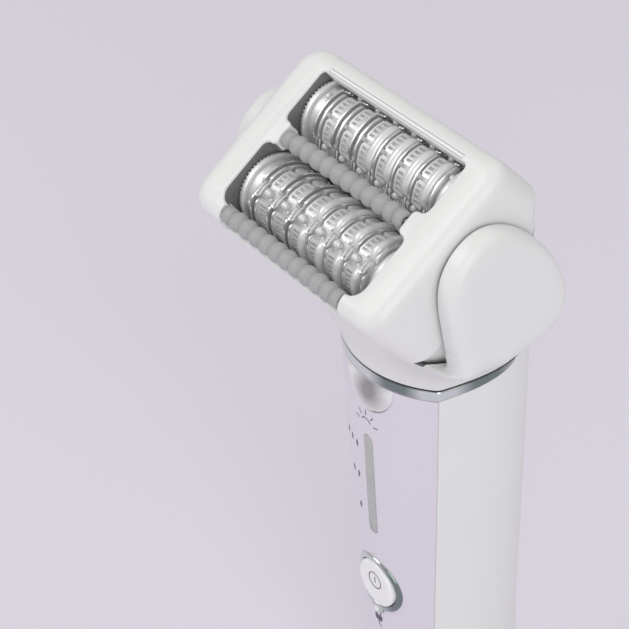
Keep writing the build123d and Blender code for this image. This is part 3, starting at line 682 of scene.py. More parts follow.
def relax(thing, weight, rounds):
    """Laplacian smoothing with a weight for each vertex."""
    mesh = thing.data
    count = len(mesh.vertices)
    points = np.empty(count * 3)
    mesh.vertices.foreach_get("co", points)
    points = points.reshape(-1, 3)
    edges = np.empty(len(mesh.edges) * 2, dtype=np.int64)
    mesh.edges.foreach_get("vertices", edges)
    one, two = edges.reshape(-1, 2).T
    share = weight(points / MM)[:, None]
    degree = np.bincount(one, minlength=count) + np.bincount(two, minlength=count)
    degree = np.maximum(degree, 1)[:, None]
    for _ in range(rounds):
        total = np.stack([np.bincount(one, points[two, k], count) + np.bincount(two, points[one, k], count)
                          for k in range(3)], axis=1)
        points = points + share * (total / degree - points)
    mesh.vertices.foreach_set("co", points.ravel())
    mesh.update()


def join(things):
    """One object out of several, which are used up."""
    work = bmesh.new()
    for thing in things:
        work.from_mesh(thing.data)
    first = things[0]
    work.to_mesh(first.data)
    work.free()
    for thing in things[1:]:
        bpy.data.objects.remove(thing)
    return first


def span(side_sign, near, far):
    """Lowest and highest x between two distances on one side."""
    return sorted((side_sign * near, side_sign * far))


def cover_space(side_sign, gap):
    """Space of an ear cover: the outer skin, and the rim above the head's split line."""
    base = HINGE + OUT * gap
    along, up = ALONG * FAR, OUT * FAR
    points = [base - along, base + along, base + along + up, base - along + up]
    rim = side_prism("cover", [p[1:] for p in points], *span(side_sign, EAR_IN - 2.0, EAR_OUT + 2.0))
    y, z = HINGE[1:]
    square = [(y + u, z + v) for u, v in ((-FAR, -FAR), (FAR, -FAR), (FAR, FAR), (-FAR, FAR))]
    skin = side_prism("skin", square, *span(side_sign, CAP_X, EAR_OUT + 2.0))
    combine(rim, skin, "UNION")
    return rim


def shade_ear_pocket_floor(moulding):
    """Paints shade on the floor of the hollow behind an ear: it gets the black material."""
    moulding.data.materials.append(BLACK)
    for face in moulding.data.polygons:
        if abs(abs(face.center[0]) / MM - EAR_IN - EAR_POCKET) < 0.02 and abs(face.normal[0]) > 0.99:
            face.material_index = 1


def build_yoke():
    """Neck that opens into a fork with two ears, smoothed into one moulding and then split."""
    rings = [whole_outline(NECK_SECTIONS, z) for z in np.linspace(RING_Z - 4, NECK_SECTIONS[-1][0], 40)]
    fork = join([Shape().loft(rings).object("yoke_shell"), ear_solid(-1), ear_solid(1)])
    remesh = fork.modifiers.new("remesh", "REMESH")
    remesh.mode = "VOXEL"
    remesh.voxel_size = VOXEL * MM
    settle(fork)

    def softness(points):
        """Whole surface a little, the shoulder under the ears a lot except at the front."""
        down = points[:, 2] - HINGE[2]
        shoulder = np.exp(-((down + 16.5) / 5.5) ** 2)
        behind = np.clip((points[:, 1] - HINGE[1] + 9.5) / 7.0, 0.06, 1.0)
        return 0.08 + 0.88 * shoulder * behind

    relax(fork, softness, 90)
    work = bmesh.new()
    work.from_mesh(fork.data)
    cut = bmesh.ops.bisect_plane(work, geom=work.verts[:] + work.edges[:] + work.faces[:], clear_outer=True,
                                 plane_co=(0, 0, (RING_Z + GASKET) * MM), plane_no=(0, 0, -1))
    edges = [e for e in cut["geom_cut"] if isinstance(e, bmesh.types.BMEdge)]
    bmesh.ops.contextual_create(work, geom=edges)
    work.to_mesh(fork.data)
    work.free()

    combine(fork, barrel_solid(-SADDLE_GAP))
    y, z = HINGE[1:]
    slab = [(y - FAR, z + FRONT_LIP), (y - 17.0, z + FRONT_LIP), (y - 13.0, z - 9.9), (y - 8.0, z - 9.9),
            (y - 4.0, z + REAR_LIP), (y + FAR, z + REAR_LIP), (y + FAR, z + FAR), (y - FAR, z + FAR)]
    combine(fork, side_prism("slab", slab, -EAR_IN, EAR_IN))
    for side_sign in (-1, 1):
        pocket = [(y + u, z + v) for u, v in grown(ear_outline(), -0.6) if v > -7.0]
        combine(fork, side_prism("pocket", pocket, *span(side_sign, EAR_IN - 0.5, EAR_IN + EAR_POCKET)))

    for name, side_sign in (("left", -1), ("right", 1)):
        cover = copy_of(fork, f"ear_cover_{name}")
        combine(cover, cover_space(side_sign, SEAM), "INTERSECT")
        finish(cover, WHITE, "handle", [f"ear_cap_{name}"], 50)
        shade_ear_pocket_floor(cover)
        combine(fork, cover_space(side_sign, 0.0))
    finish(fork, WHITE, "handle", ["yoke"], 50)
    shade_ear_pocket_floor(fork)


# ---- tilting head
def taper(a):
    """Share of the head's width left at a place along it."""
    toward_front = np.clip((-6.0 - a) / 15.0, 0, 1)
    return 1 - FRONT_TAPER * toward_front ** 2 * (3 - 2 * toward_front)


def head_outline(inset=0.0, b=0.0):
    """Plan of the head, (x, a), at a height over the tilt axis."""
    low = float(np.interp(b, HEAD_HEIGHTS, HEAD_FRONT)) + inset
    high = float(np.interp(b, HEAD_HEIGHTS, HEAD_REAR)) - inset
    outline = box_outline(HEAD_X - inset, low, high, HEAD_CORNER - inset, 12)
    outline[:, 0] *= taper(outline[:, 1])
    return outline


def opening_outline():
    """Both windows and the slot of the middle roller as one outline with two tongues."""
    low, high = LOW_WINDOW, HIGH_WINDOW
    right = [(WINDOW_X, low[0]), (WINDOW_X, low[1]), (TONGUE_X, low[1]), (TONGUE_X, high[0]),
             (WINDOW_X, high[0]), (WINDOW_X, high[1])]
    radii = [3.0, 1.5, 1.2, 1.2, 1.5, 0.9]
    left = [(-x, a) for x, a in reversed(right)]
    return rounded(right + left, radii + radii[::-1], 6)


def head_loft(name, levels):
    """Solid through (outline, height) levels, the outlines in the head's own axes."""
    return Shape().loft([[head_point(x, a, b) for x, a in outline] for outline, b in levels]).object(name)


def build_head_frame():
    """White frame round the two windows."""
    levels = [(0.0, 0.35), (0.12, 0.12), (0.35, 0.0)]
    levels += [(b, 0.0) for b in (1.0, 2.0, 3.0, 4.0, 4.6, 5.0, 5.4, 6.0, 8.0, 10.0, 13.0, FACE - HEAD_EDGE)]
    levels += round_over(FACE, HEAD_EDGE, 11)
    shell = head_loft("head_shell", [(grown(head_outline(0, b), -inset), b) for b, inset in levels])
    hollow = [(head_outline(HEAD_WALL, b), b) for b in (-2, 0, 5, 13, FACE - 3.2)]
    combine(shell, head_loft("hollow", hollow))

    opening = opening_outline()
    levels = [(FACE - 6.0, 0.0), (FACE - LIP, 0.0)] + round_over(FACE, LIP, 6) + [(FACE + 1.0, LIP)]
    combine(shell, head_loft("opening", [(grown(opening, out), b) for b, out in levels]))
    notch = box_outline(TONGUE_X, -26.0, -15.0, 0.2, 2)
    combine(shell, head_prism("notch", notch, 13.6, FACE + 2))
    groove = box_outline(20.1, STRIP_A[0], STRIP_A[1], 0.1, 2)
    combine(shell, head_prism("groove", groove, FACE - 0.5, FACE + 2))
    finish(shell, WHITE, "head", ["head_frame"], 40)
    shade_window_walls(shell)

    shape = Shape()
    for side_sign in (-1, 1):
        for a, half, low in ((ROLLER_MIDDLE[0], 1.4, 14.6), (ROLLER_FRONT[0] + 0.8, 1.1, 13.0)):
            outline = box_outline(1.35, a - half, a + half, 0.5, 3)
            x = side_sign * 20.4
            shape.loft([[head_point(x + u, v, b) for u, v in outline] for b in (low, FACE - 2.2)])
    finish(shape.object("axle_seats"), WHITE, "head", [], 40)


def shade_window_walls(shell):
    """Paints shade on the end walls inside the windows: they get a dark grey material."""
    shell.data.materials.append(WINDOW_WALL_SHADE)
    for face in shell.data.polygons:
        away = np.array(face.center) / MM - HINGE
        x, a, b = away[0], np.dot(away, ALONG), np.dot(away, OUT)
        facing = abs(np.dot(np.array(face.normal), OUT))
        inside = abs(x) < WINDOW_X + 0.3 and LOW_WINDOW[0] - 0.3 < a < HIGH_WINDOW[1] + 0.3
        if inside and facing < 0.3 and b < FACE - LIP and not (abs(x) < TONGUE_X + 0.4):
            face.material_index = 1


def build_head_base():
    """Round belly under the split line, hollow above."""
    rows = []
    for x in barrel_places():
        row = []
        radius = barrel_radius(x)
        corner = max(0.0, abs(x) - (HEAD_X - HEAD_CORNER))
        rounding = HEAD_CORNER - sqrt(max(0.0, HEAD_CORNER ** 2 - corner ** 2))
        for turn in np.linspace(pi, 2 * pi, 65):
            a, b = radius * cos(turn), min(radius * sin(turn), -SEAM)
            a = min(a, (BELLY_BACK + b * OUT_LEAN) / ALONG_LEVEL - rounding)
            row.append(head_point(x, a, b))
        rows.append(row)
    base = Shape().loft(rows).object("head_belly")
    plan = head_outline(HEAD_WALL + 2.2)
    rings = []
    for share, b in ((0.0, 2.0), (0.3, -4.0), (0.7, -9.0), (1.0, -13.0)):
        rear = (BELLY_BACK - HEAD_WALL + b * OUT_LEAN) / ALONG_LEVEL
        rings.append([head_point(x, min(a, rear), b) for x, a in grown(plan, -6.0 * share ** 2)])
    combine(base, Shape().loft(rings).object("hollow"))
    finish(base, WHITE, "head", ["head_base"], 40)


# ---- tweezer cylinders
CYL_X = 20.9              # half length
CYL_R = 7.9               # end flanges
CORE_R = 5.9
FOOT_R = 5.6              # ribs, discs and rails sink to this radius at their ends
PLATE_FOOT = 5.4          # inner edge of ribs and discs, inside the core
ROWS = 3                  # rows of tweezers round a cylinder
ROW_SHIFT = (-1.15, 1.15, 0.0)
DISCS = 7
DISC_PITCH = 5.5
THIN_DISCS = 3            # the first discs are bare metal pairs, the others thick ribs
CROWN_TEETH = 56          # fine teeth round one end
RUNGS = 5                 # rungs over each ladder's window
GAP_AT = {"front": radians(106), "rear": radians(160)}


class Drum(Shape):
    """Shape with places given as x, radius and angle about a cylinder's axis."""

    def __init__(self, name):
        super().__init__()
        self.axis_at = AXIS_AT[name]

    def at(self, x, radius, angle):
        """Point of the cylinder."""
        return self.axis_at + SIDEWAYS * x + (ALONG * cos(angle) + OUT * sin(angle)) * radius

    def arc(self, profile, start, stop, steps, fade=0.0):
        """Sweeps an (x, radius) profile round the axis; with a fade its ends sink into the core."""
        rings = []
        for share in np.linspace(0, 1, steps + 1):
            height = 1.0
            if fade:
                sunk = 1 - min(min(share, 1 - share) / fade, 1)
                height = min(1.0, sqrt(max(0.0, 1 - sunk ** 2)) + 0.12)
            angle = start + (stop - start) * share
            rings.append([self.at(x, FOOT_R + (r - FOOT_R) * height, angle) for x, r in profile])
        self.loft(rings)

    def tube(self, path, radius):
        """Round wire along a path of (x, radius, angle)."""
        points = np.array([self.at(*place) for place in path])
        ahead = np.gradient(points, axis=0)
        ahead /= np.linalg.norm(ahead, axis=1)[:, None]
        rings = []
        for point, forward in zip(points, ahead):
            lift = point - self.axis_at
            lift -= SIDEWAYS * lift[0]
            lift /= np.linalg.norm(lift)
            across = np.cross(forward, lift)
            across /= np.linalg.norm(across)
            up = np.cross(across, forward)
            rings.append([point + (across * cos(t) + up * sin(t)) * radius
                          for t in turns(8)])
        self.loft(rings)

    def knob(self, x, foot, angle, radius):
        """Small domed stud standing on the cylinder."""
        centre = self.at(x, foot, angle)
        up = centre - self.at(x, 0, angle)
        up /= np.linalg.norm(up)
        side = np.cross(SIDEWAYS, up)
        rings = []
        for share, height in ((1.0, -0.6), (1.0, 0.15), (0.93, 0.5), (0.75, 0.8), (0.45, 1.0), (0.12, 1.08)):
            rings.append([centre + up * height * radius + (SIDEWAYS * cos(t) + side * sin(t)) * radius * share
                          for t in turns(20)])
        self.loft(rings)


def bar(middle, half, low, high, soft=0.12):
    """Closed (x, radius) profile of a bar with a softened top."""
    return [(middle - half, low), (middle + half, low), (middle + half, high - soft),
            (middle + half - soft, high), (middle - half + soft, high), (middle - half, high - soft)]


def rib(middle, half, low, high):
    """Closed profile of a thick rib with a round back."""
    crown = [(middle + half * cos(t), high - half * 0.9 + half * 0.9 * sin(t))
             for t in np.linspace(0, pi, 7)]
    return [(middle - half, low), (middle + half, low)] + crown


def disc_places():
    """Middle of each disc along a cylinder."""
    return [(k - (DISCS - 1) / 2) * DISC_PITCH for k in range(DISCS)]


def build_drum(name):
    """Moulded core, flanges, ladder blocks, thick ribs and studs of one cylinder."""
    drum = Drum(name)
    end = CYL_X
    body = [(-end, 1.7), (-end, CYL_R - 0.25), (-end + 0.25, CYL_R), (-end + 0.75, CYL_R),
            (-end + 1.0, CYL_R - 0.3), (-end + 1.05, 6.9), (-end + 2.6, 6.55), (-end + 3.2, CORE_R),
            (end - 3.2, CORE_R), (end - 2.6, 6.55), (end - 1.3, 7.0),
            (end - 1.25, CYL_R - 0.3), (end - 1.0, CYL_R), (end - 0.25, CYL_R),
            (end, CYL_R - 0.25), (end, 1.7)]
    lathe(drum, body, drum.axis_at, 96)
    for angle in turns(CROWN_TEETH):
        drum.arc(bar(-end - 0.35, 0.3, 6.6, 7.55), angle - 0.022, angle + 0.022, 1)
    for row in range(ROWS):
        gap = GAP_AT[name] + row * 2 * pi / ROWS
        shift = ROW_SHIFT[row]
        for k, x in enumerate(disc_places()):
            thick = k >= THIN_DISCS
            if thick:
                drum.arc(rib(x - 0.4 + shift, 1.0, PLATE_FOOT, CYL_R), gap + radians(4),
                         gap + radians(108), 32, fade=0.4)
            if k < DISCS - 1:
                middle = x + DISC_PITCH / 2 + 0.3 + shift
                for start, stop in ((15, 57), (65, 107)):
                    ladder(drum, middle, gap + radians(start), gap + radians(stop), 1.45 if thick else 1.6)
                drum.knob(middle - 0.2, CORE_R + 0.5, gap + radians(-1), 0.85)
                drum.knob(middle + 0.95, CORE_R + 0.2, gap + radians(7), 0.4)
        for side_sign in (-1, 1):
            drum.knob(side_sign * (end - 2.1), 6.5, gap + radians(34), 0.7)
    finish(drum.object(f"{name}_drum_shell"), SILVER, f"{name}_cylinder", [f"{name}_drum"],
           32)


def ladder(drum, middle, start, stop, half):
    """Raised frame with rungs over a sunk window."""
    for side_sign in (-1, 1):
        rail = bar(middle + side_sign * (half - 0.2), 0.2, FOOT_R, 7.05, 0.1)
        drum.arc(rail, start, stop, 14, fade=0.06)
    for k in range(RUNGS):
        outer = k in (0, RUNGS - 1)
        angle = start + (stop - start) * (0.05 + 0.90 * k / (RUNGS - 1))
        wide = 0.05 if outer else 0.03
        rung = bar(middle, half - 0.3, FOOT_R, 7.0 if outer else 6.85, 0.06)
        drum.arc(rung, angle - wide, angle + wide, 2)
    drum.arc(bar(middle, half - 0.25, 5.5, 6.15, 0.05), start, stop, 14)


def build_tweezers(name):
    """Bright metal discs and the hooked tips between the rows."""
    metal = Drum(name)
    for row in range(ROWS):
        gap = GAP_AT[name] + row * 2 * pi / ROWS
        shift = 0.25 * (row - 1)
        for k, x in enumerate(disc_places()):
            if k < THIN_DISCS:
                for place, top, late in ((x - 0.7, 7.8, 0), (x + 0.5, 7.55, 6)):
                    metal.arc(bar(place + shift, 0.26, PLATE_FOOT, top), gap + radians(5 + late),
                              gap + radians(114 - late), 28, fade=0.2)
            else:
                metal.arc(bar(x + 0.8 + shift, 0.2, PLATE_FOOT, 7.4, 0.1), gap + radians(8),
                          gap + radians(110), 24, fade=0.16)
            hook(metal, x - 0.1 + shift, gap - radians(16), gap + radians(12))
    finish(metal.object(f"{name}_tweezer_discs"), BRIGHT, f"{name}_cylinder", [f"{name}_tweezers"],
           40)


def hook(metal, x, start, stop):
    """Narrow loop of bright strip that closes on a hair."""
    half = 0.5
    leg = [(6.3 + 0.9 * share, start + (stop - start) * share) for share in np.linspace(0, 0.85, 7)]
    tip = [(x + half * sin(t), 7.2, start + (stop - start) * (0.9 + 0.08 * cos(t)))
           for t in np.linspace(-pi / 2, pi / 2, 7)]
    path = [(x - half, *place) for place in leg] + tip + [(x + half, *place) for place in leg[::-1]]
    metal.tube(path, 0.26)


# ---- massage rollers
BEADS = 10
BEAD_PITCH = 3.2
ROLLER_X = 18.3


def build_roller(name):
    """Grey roller of rounded beads with plain ends."""
    end = BEADS * BEAD_PITCH / 2
    profile = [(-ROLLER_X, 0.85), (-ROLLER_X, 1.45), (-ROLLER_X + 0.3, 1.75), (-end - 0.25, 1.75),
               (-end, 1.4)]
    for k in range(BEADS):
        for share in np.linspace(0, 1, 13)[1:]:
            swell = sin(pi * share) if share < 1 else 0.0
            profile.append((-end + (k + share) * BEAD_PITCH, 1.36 + 0.64 * swell))
    profile += [(end + 0.25, 1.75), (ROLLER_X - 0.3, 1.75), (ROLLER_X, 1.45), (ROLLER_X, 0.85)]
    beads = lathe(Shape(), profile, ROLLER_AT[name], 48)
    finish(beads.object(f"{name}_massage_beads"), ROLLER, f"{name}_massage_roller", [f"{name}_roller"],
           60)


# ---- materials
class Finish:
    """One procedural material: a Principled shader fed by noise, edge wear and bump."""

    def __init__(self, name, color, roughness, metallic=0.0):
        self.material = bpy.data.materials.new(name)
        self.material.use_nodes = True
        tree = self.material.node_tree
        self.nodes, self.links = tree.nodes, tree.links
        self.shader = self.nodes["Principled BSDF"]
        self.shader.inputs["Base Color"].default_value = (*color, 1)
        self.shader.inputs["Roughness"].default_value = roughness
        self.shader.inputs["Metallic"].default_value = metallic
        self.color, self.roughness = color, roughness
        self.place = self.nodes.new("ShaderNodeTexCoord").outputs["Object"]
        self.tone = None

    def put(self, **values):
        """Sets the shader's own sockets."""
        for name, value in values.items():
            self.shader.inputs[name.replace("_", " ")].default_value = value
        return self

    def node(self, kind, **inputs):
        """New node; an input is a plain value or the output of another node."""
        node = self.nodes.new("ShaderNode" + kind)
        for name, value in inputs.items():
            socket = node.inputs[name.replace("_", " ")]
            if isinstance(value, bpy.types.NodeSocket):
                self.links.new(value, socket)
            else:
                socket.default_value = value
        return node

    def noise(self, size, detail=3.0, stretch=None):
        """Noise whose features are about the given size in millimetres."""
        source = self.place
        if stretch:
            source = self.node("Mapping", Vector=source, Scale=stretch).outputs["Vector"]
        return self.node("TexNoise", Vector=source, Scale=1 / (size * MM), Detail=detail).outputs["Fac"]

    def spread(self, value, low, high, start=0.3, stop=0.7):
        """Maps a value's middle range onto new limits."""
        limits = {"From_Min": start, "From_Max": stop, "To_Min": low, "To_Max": high}
        return self.node("MapRange", Value=value, **limits).outputs["Result"]

    def blend(self, share, color):
        """Lays a second tone over the colour where share is high."""
        node = self.nodes.new("ShaderNodeMix")
        node.data_type = "RGBA"
        if self.tone is None:
            node.inputs[6].default_value = (*self.color, 1)
        else:
            self.links.new(self.tone, node.inputs[6])
        node.inputs[7].default_value = (*color, 1)
        self.links.new(share, node.inputs[0])
        self.tone = node.outputs[2]
        self.links.new(self.tone, self.shader.inputs["Base Color"])
        return self

    def mottle(self, size, change):
        """Broad, faint variation of the tone."""
        color = tuple(min(1.0, c * (1 + change)) for c in self.color)
        return self.blend(self.spread(self.noise(size), 0.0, 1.0), color)

    def rough(self, size, change, stretch=None):
        """Uneven gloss."""
        value = self.spread(self.noise(size, 4.0, stretch), self.roughness - change, self.roughness + change)
        self.links.new(value, self.shader.inputs["Roughness"])
        return self

    def bump(self, size, depth, strength=0.3, stretch=None):
        """Fine relief of the given size and depth in millimetres."""
        relief = self.node("Bump", Strength=strength, Distance=depth * MM,
                           Height=self.noise(size, 2.0, stretch))
        self.links.new(relief.outputs["Normal"], self.shader.inputs["Normal"])
        return self

    def wear(self, color, amount):
        """Paler or darker tone on outer edges."""
        edge = self.node("NewGeometry").outputs["Pointiness"]
        return self.blend(self.spread(edge, 0.0, amount, 0.53, 0.62), color)

    def painted_recess_shade(self, color, amount):
        """Painted shade: darker tone in recesses."""
        edge = self.node("NewGeometry").outputs["Pointiness"]
        return self.blend(self.spread(edge, amount, 0.0, 0.40, 0.49), color)


def plain(name, color, roughness, metallic=0.0, mottle=None, rough=None, bump=None, painted_recess_shade=None, wear=None,
          **own):
    """Material of faint changes in tone and gloss and fine relief, with the shader's own sockets; it can also
    paint shade into recesses.
    """
    skin = Finish(name, color, roughness, metallic).put(**own)
    for step, values in ((skin.mottle, mottle), (skin.rough, rough), (skin.bump, bump), (skin.painted_recess_shade, painted_recess_shade),
                         (skin.wear, wear)):
        if values:
            step(*values)
    return skin.material


def make_lilac():
    """Pearly lilac lacquer with fine flakes."""
    skin = Finish("lilac_pearl", (0.72, 0.675, 0.755), 0.32).put(Coat_Weight=0.35, Coat_Roughness=0.12)
    skin.put(Sheen_Weight=0.1)
    flakes = skin.spread(skin.noise(0.07, 1.0), 0.0, 0.35, 0.58, 0.72)
    skin.blend(flakes, (0.84, 0.80, 0.87)).rough(1.2, 0.04).bump(0.3, 0.004, 0.05)
    return skin.wear((0.7, 0.65, 0.76), 0.2).material


def make_chrome():
    """Plated trim, nearly a mirror, with faint polishing lines in its gloss and painted reflections: dark
    green-grey bands along the ring.
    """
    skin = Finish("plated_trim", (0.72, 0.76, 0.75), 0.13, 1.0)
    level = skin.node("Mapping", Vector=skin.place, Scale=(1, 1, 0)).outputs["Vector"]
    # painted reflection: waves round the ring blend in a dark green-grey, in place of the studio's dark
    # reflections
    painted_reflection_bands = skin.node("TexWave", Vector=level, Scale=26.2, Distortion=0.8, Phase_Offset=2.1)
    painted_reflection_bands.bands_direction = "DIAGONAL"
    skin.blend(skin.spread(painted_reflection_bands.outputs["Fac"], 0.9, 0.0, 0.12, 0.7), (0.17, 0.22, 0.21))
    return skin.rough(0.5, 0.035, (0.15, 0.15, 1)).bump(0.3, 0.004, 0.06).material


def make_lens():
    """Clear window over a silvery reflector, with a painted reflection: dark grey in the middle, bright
    towards the edges.
    """
    skin = Finish("lamp_window", (0.84, 0.84, 0.845), 0.16, 0.25).put(Coat_Weight=1.0, Coat_Roughness=0.03)
    fitted = skin.node("Mapping", Vector=skin.place, Scale=(6.0 * MM, 40 * MM, 5.6 * MM),
                       Location=(1.2 * MM, -18 * MM, (LENS_Z - 2.6) * MM))
    fitted.vector_type = "TEXTURE"
    # painted reflection: a spherical gradient blends dark grey into the middle of the window
    painted_reflection_gradient = skin.node("TexGradient", Vector=fitted.outputs["Vector"])
    painted_reflection_gradient.gradient_type = "SPHERICAL"
    skin.blend(skin.spread(painted_reflection_gradient.outputs["Fac"], 0.0, 0.9, 0.05, 0.75), (0.22, 0.22, 0.225))
    return skin.rough(1.0, 0.04).bump(0.9, 0.02, 0.08, (1, 1, 0.2)).material


def make_board():
    """Green solder mask with copper tracks under it."""
    skin = Finish("circuit_green", (0.015, 0.14, 0.06), 0.3)
    turned = skin.node("Mapping", Vector=skin.place, Rotation=(radians(90), 0, 0)).outputs["Vector"]
    brick = skin.node("TexBrick", Vector=turned, Scale=1 / (3.2 * MM), Mortar_Size=0.06,
                      Color1=(0, 0, 0, 1), Color2=(0.15, 0.15, 0.15, 1), Mortar=(1, 1, 1, 1))
    skin.blend(brick.outputs["Color"], (0.06, 0.26, 0.1))
    return skin.rough(0.5, 0.06).bump(0.4, 0.02, 0.3).material


LILAC, CHROME, LENS, BOARD = make_lilac(), make_chrome(), make_lens(), make_board()

# satin white moulding with a faint spark texture
WHITE = plain("white_moulding", (0.815, 0.82, 0.808), 0.36, mottle=(14, -0.012), rough=(2.5, 0.04),
              bump=(0.22, 0.012, 0.12), wear=((0.9, 0.9, 0.89), 0.35), Coat_Weight=0.12,
              Coat_Roughness=0.25, Subsurface_Weight=0.08, Subsurface_Radius=(0.6, 0.55, 0.5),
              Subsurface_Scale=0.8 * MM)
# metallic silver paint on the cylinders' mouldings, with painted shade, nearly black, in their recesses
SILVER = plain("silver_paint", (0.80, 0.80, 0.80), 0.34, 0.3, mottle=(2.0, -0.06), rough=(0.4, 0.06),
               bump=(0.12, 0.01, 0.1), painted_recess_shade=((0.12, 0.12, 0.12), 0.95), wear=((0.84, 0.84, 0.84), 0.6),
               Coat_Weight=0.25, Coat_Roughness=0.2)
# polished tweezer steel with a turned grain
BRIGHT = plain("tweezer_steel", (0.88, 0.88, 0.88), 0.2, 0.8, mottle=(1.2, -0.06),
               rough=(0.2, 0.06, (8, 1, 1)), bump=(0.08, 0.005, 0.08, (6, 1, 1)))
# plain turned steel of axles, pins and screws
STEEL = plain("turned_steel", (0.55, 0.555, 0.56), 0.28, 1.0, mottle=(2.5, -0.1),
              rough=(0.15, 0.08, (10, 1, 1)), bump=(0.1, 0.008, 0.15, (10, 1, 1)))
# matte grey silicone-like plastic
ROLLER = plain("roller_plastic", (0.384, 0.384, 0.384), 0.55, mottle=(1.5, 0.08), rough=(0.5, 0.06),
               bump=(0.15, 0.015, 0.25), wear=((0.38, 0.38, 0.38), 0.4), Coat_Weight=0.05)
# painted shade: dark grey for the end walls inside the windows of the white frame
WINDOW_WALL_SHADE = plain("window_wall_shade", (0.17, 0.17, 0.172), 0.5, mottle=(3.0, 0.2), rough=(0.8, 0.06),
               bump=(0.25, 0.02, 0.2))
# grey moulded plastic inside the head and handle
GREY = plain("grey_moulding", (0.20, 0.20, 0.205), 0.45, mottle=(3.0, 0.15), rough=(0.8, 0.07),
             bump=(0.25, 0.02, 0.25), wear=((0.32, 0.32, 0.32), 0.5))
# fine-grained black plastic
BLACK = plain("black_moulding", (0.02, 0.02, 0.022), 0.42, mottle=(2.0, 0.6), rough=(0.7, 0.06),
              bump=(0.2, 0.02, 0.3), wear=((0.06, 0.06, 0.06), 0.5))
# black rubber seal
RUBBER = plain("seal_rubber", (0.016, 0.016, 0.017), 0.7, mottle=(1.5, 0.5), rough=(0.5, 0.08),
               bump=(0.12, 0.03, 0.4))
# grey translucent-looking strip of the speed display
DISPLAY = plain("speed_strip", (0.44, 0.45, 0.44), 0.34, mottle=(2.5, 0.06), rough=(0.8, 0.04),
                bump=(0.15, 0.008, 0.12), Coat_Weight=0.3, Coat_Roughness=0.1)
# glossy white switch cap
KEY = plain("switch_cap", (0.9, 0.9, 0.905), 0.2, mottle=(4.0, -0.02), rough=(1.5, 0.04),
            bump=(0.3, 0.006, 0.1), Coat_Weight=0.4, Coat_Roughness=0.08)
# grey-violet printing ink
PRINT = plain("printed_ink", (0.10, 0.085, 0.12), 0.5, mottle=(0.6, 0.35), rough=(0.3, 0.08),
              bump=(0.06, 0.006, 0.3))
# gilt contact metal
BRASS = plain("contact_gilt", (0.72, 0.55, 0.26), 0.24, 1.0, mottle=(1.0, -0.15), rough=(0.3, 0.07),
              bump=(0.1, 0.008, 0.15))
# cream gear plastic
GEAR = plain("gear_resin", (0.72, 0.69, 0.60), 0.4, mottle=(2.0, -0.08), rough=(0.6, 0.06),
             bump=(0.12, 0.01, 0.2), wear=((0.8, 0.78, 0.7), 0.4))
# blue shrink sleeve of the cell, slightly rippled
SLEEVE = plain("cell_sleeve", (0.03, 0.10, 0.30), 0.32, mottle=(6.0, 0.2), rough=(2.0, 0.08),
               bump=(3.0, 0.08, 0.3, (1, 1, 0.3)), Coat_Weight=0.3)
# pale lavender studio floor
FLOOR = plain("studio_floor", (0.79, 0.75, 0.84), 0.85, mottle=(400, -0.01), rough=(60, 0.05),
              Specular_IOR_Level=0.1)

SLOT_MATERIAL = {
    "white_shell": WHITE, "lilac_shell": LILAC, "chrome": CHROME, "silver_plastic": SILVER, "steel": STEEL,
    "roller_grey": ROLLER, "grey_plastic": GREY, "black_plastic": BLACK, "black_rubber": RUBBER,
    "clear_lens": LENS, "grey_window": DISPLAY, "white_button": KEY, "contact_metal": BRASS,
    "gear_plastic": GEAR, "circuit_board": BOARD, "battery_sleeve": SLEEVE,
}


def dress_cad_nodes():
    """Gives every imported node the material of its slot."""
    for entry in record["subparts"]:
        thing = frame["nodes"][entry["node"]]
        material = SLOT_MATERIAL[entry["material_slot"]]
        if not thing.data.materials:
            thing.data.materials.append(material)
        for slot in thing.material_slots:
            slot.material = material


# ---- studio
def build_floor():
    """Wide flat floor."""
    shape = Shape()
    reach = np.linspace(-4000, 4000, 17)
    shape.grid([[np.array([x, y, 0.0]) for x in reach] for y in reach])
    floor = shape.object("studio_floor")
    floor.data.materials.append(FLOOR)


AIM = (0, 0, 0.12)
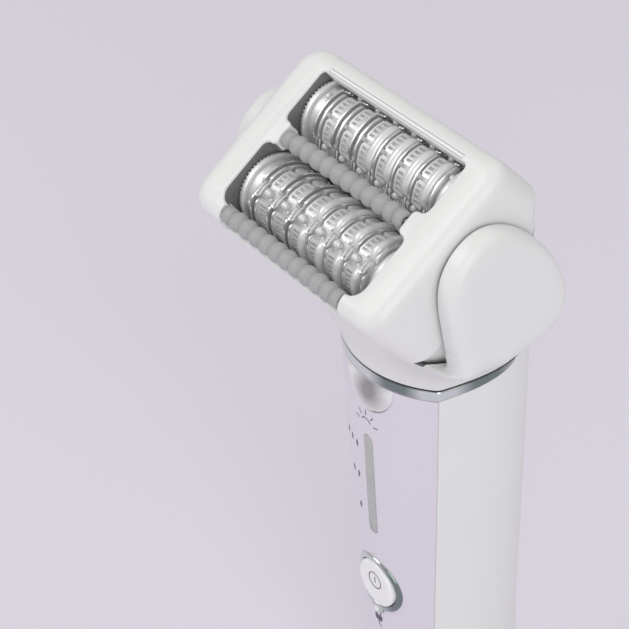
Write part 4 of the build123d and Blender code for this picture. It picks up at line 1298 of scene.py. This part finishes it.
# name, place and size in metres, power in watts
LAMPS = [
    ("key_light", (-0.7, -0.9, 1.3), (0.9, 0.9), 7.5),
    ("fill_light", (1.2, -0.6, 0.7), (0.8, 1.2), 7),
    ("top_light", (0.1, 0.6, 1.3), (1.0, 0.6), 1.5),
]
VIEW_ANGLES = (55.82, 36.69, -3.24)              # turn, height and roll in degrees
VIEW_TARGET = (-0.04615, 0.002, 0.0946)
VIEW_AWAY = 0.48904
VIEW_LENS = 125.9


def area_light(name, place, size, power):
    """Soft rectangular lamp aimed at the head's foot."""
    light = bpy.data.lights.new(name, "AREA")
    light.shape = "RECTANGLE"
    light.size, light.size_y = size
    light.energy = power
    thing = bpy.data.objects.new(name, light)
    thing.location = place
    thing.rotation_euler = (Vector(AIM) - Vector(place)).to_track_quat("-Z", "Y").to_euler()
    bpy.context.collection.objects.link(thing)


def build_camera():
    """Camera from high on the right, turned and rolled as a hand would hold the tool."""
    azimuth, elevation, roll = (radians(angle) for angle in VIEW_ANGLES)
    right = Vector((cos(azimuth), sin(azimuth), 0))
    back = Vector((sin(azimuth) * cos(elevation), -cos(azimuth) * cos(elevation), sin(elevation)))
    up = back.cross(right)
    rolled_right = right * cos(roll) + up * sin(roll)
    rolled_up = up * cos(roll) - right * sin(roll)
    camera = bpy.data.cameras.new("camera")
    camera.lens = VIEW_LENS
    camera.sensor_width = 36
    camera.clip_start, camera.clip_end = 0.01, 20
    thing = bpy.data.objects.new("camera", camera)
    turn = Matrix((rolled_right, rolled_up, back)).transposed().to_4x4()
    thing.matrix_world = Matrix.Translation(Vector(VIEW_TARGET) + back * VIEW_AWAY) @ turn
    bpy.context.collection.objects.link(thing)
    bpy.context.scene.camera = thing


def build_studio():
    """Floor, pale surroundings, three soft lamps and the camera."""
    build_floor()
    world = bpy.data.worlds.new("studio")
    world.use_nodes = True
    background = world.node_tree.nodes["Background"]
    background.inputs["Color"].default_value = (0.88, 0.88, 0.872, 1)
    background.inputs["Strength"].default_value = 0.60
    bpy.context.scene.world = world
    for lamp in LAMPS:
        area_light(*lamp)
    bpy.context.scene.view_settings.view_transform = "Standard"
    build_camera()


# ---- build
dress_cad_nodes()
build_handle()
build_switch()
build_marks()
build_yoke()
build_head_frame()
build_head_base()
for cylinder in ("front", "rear"):
    build_drum(cylinder)
    build_tweezers(cylinder)
for roller_name in ("front", "middle"):
    build_roller(roller_name)
build_studio()
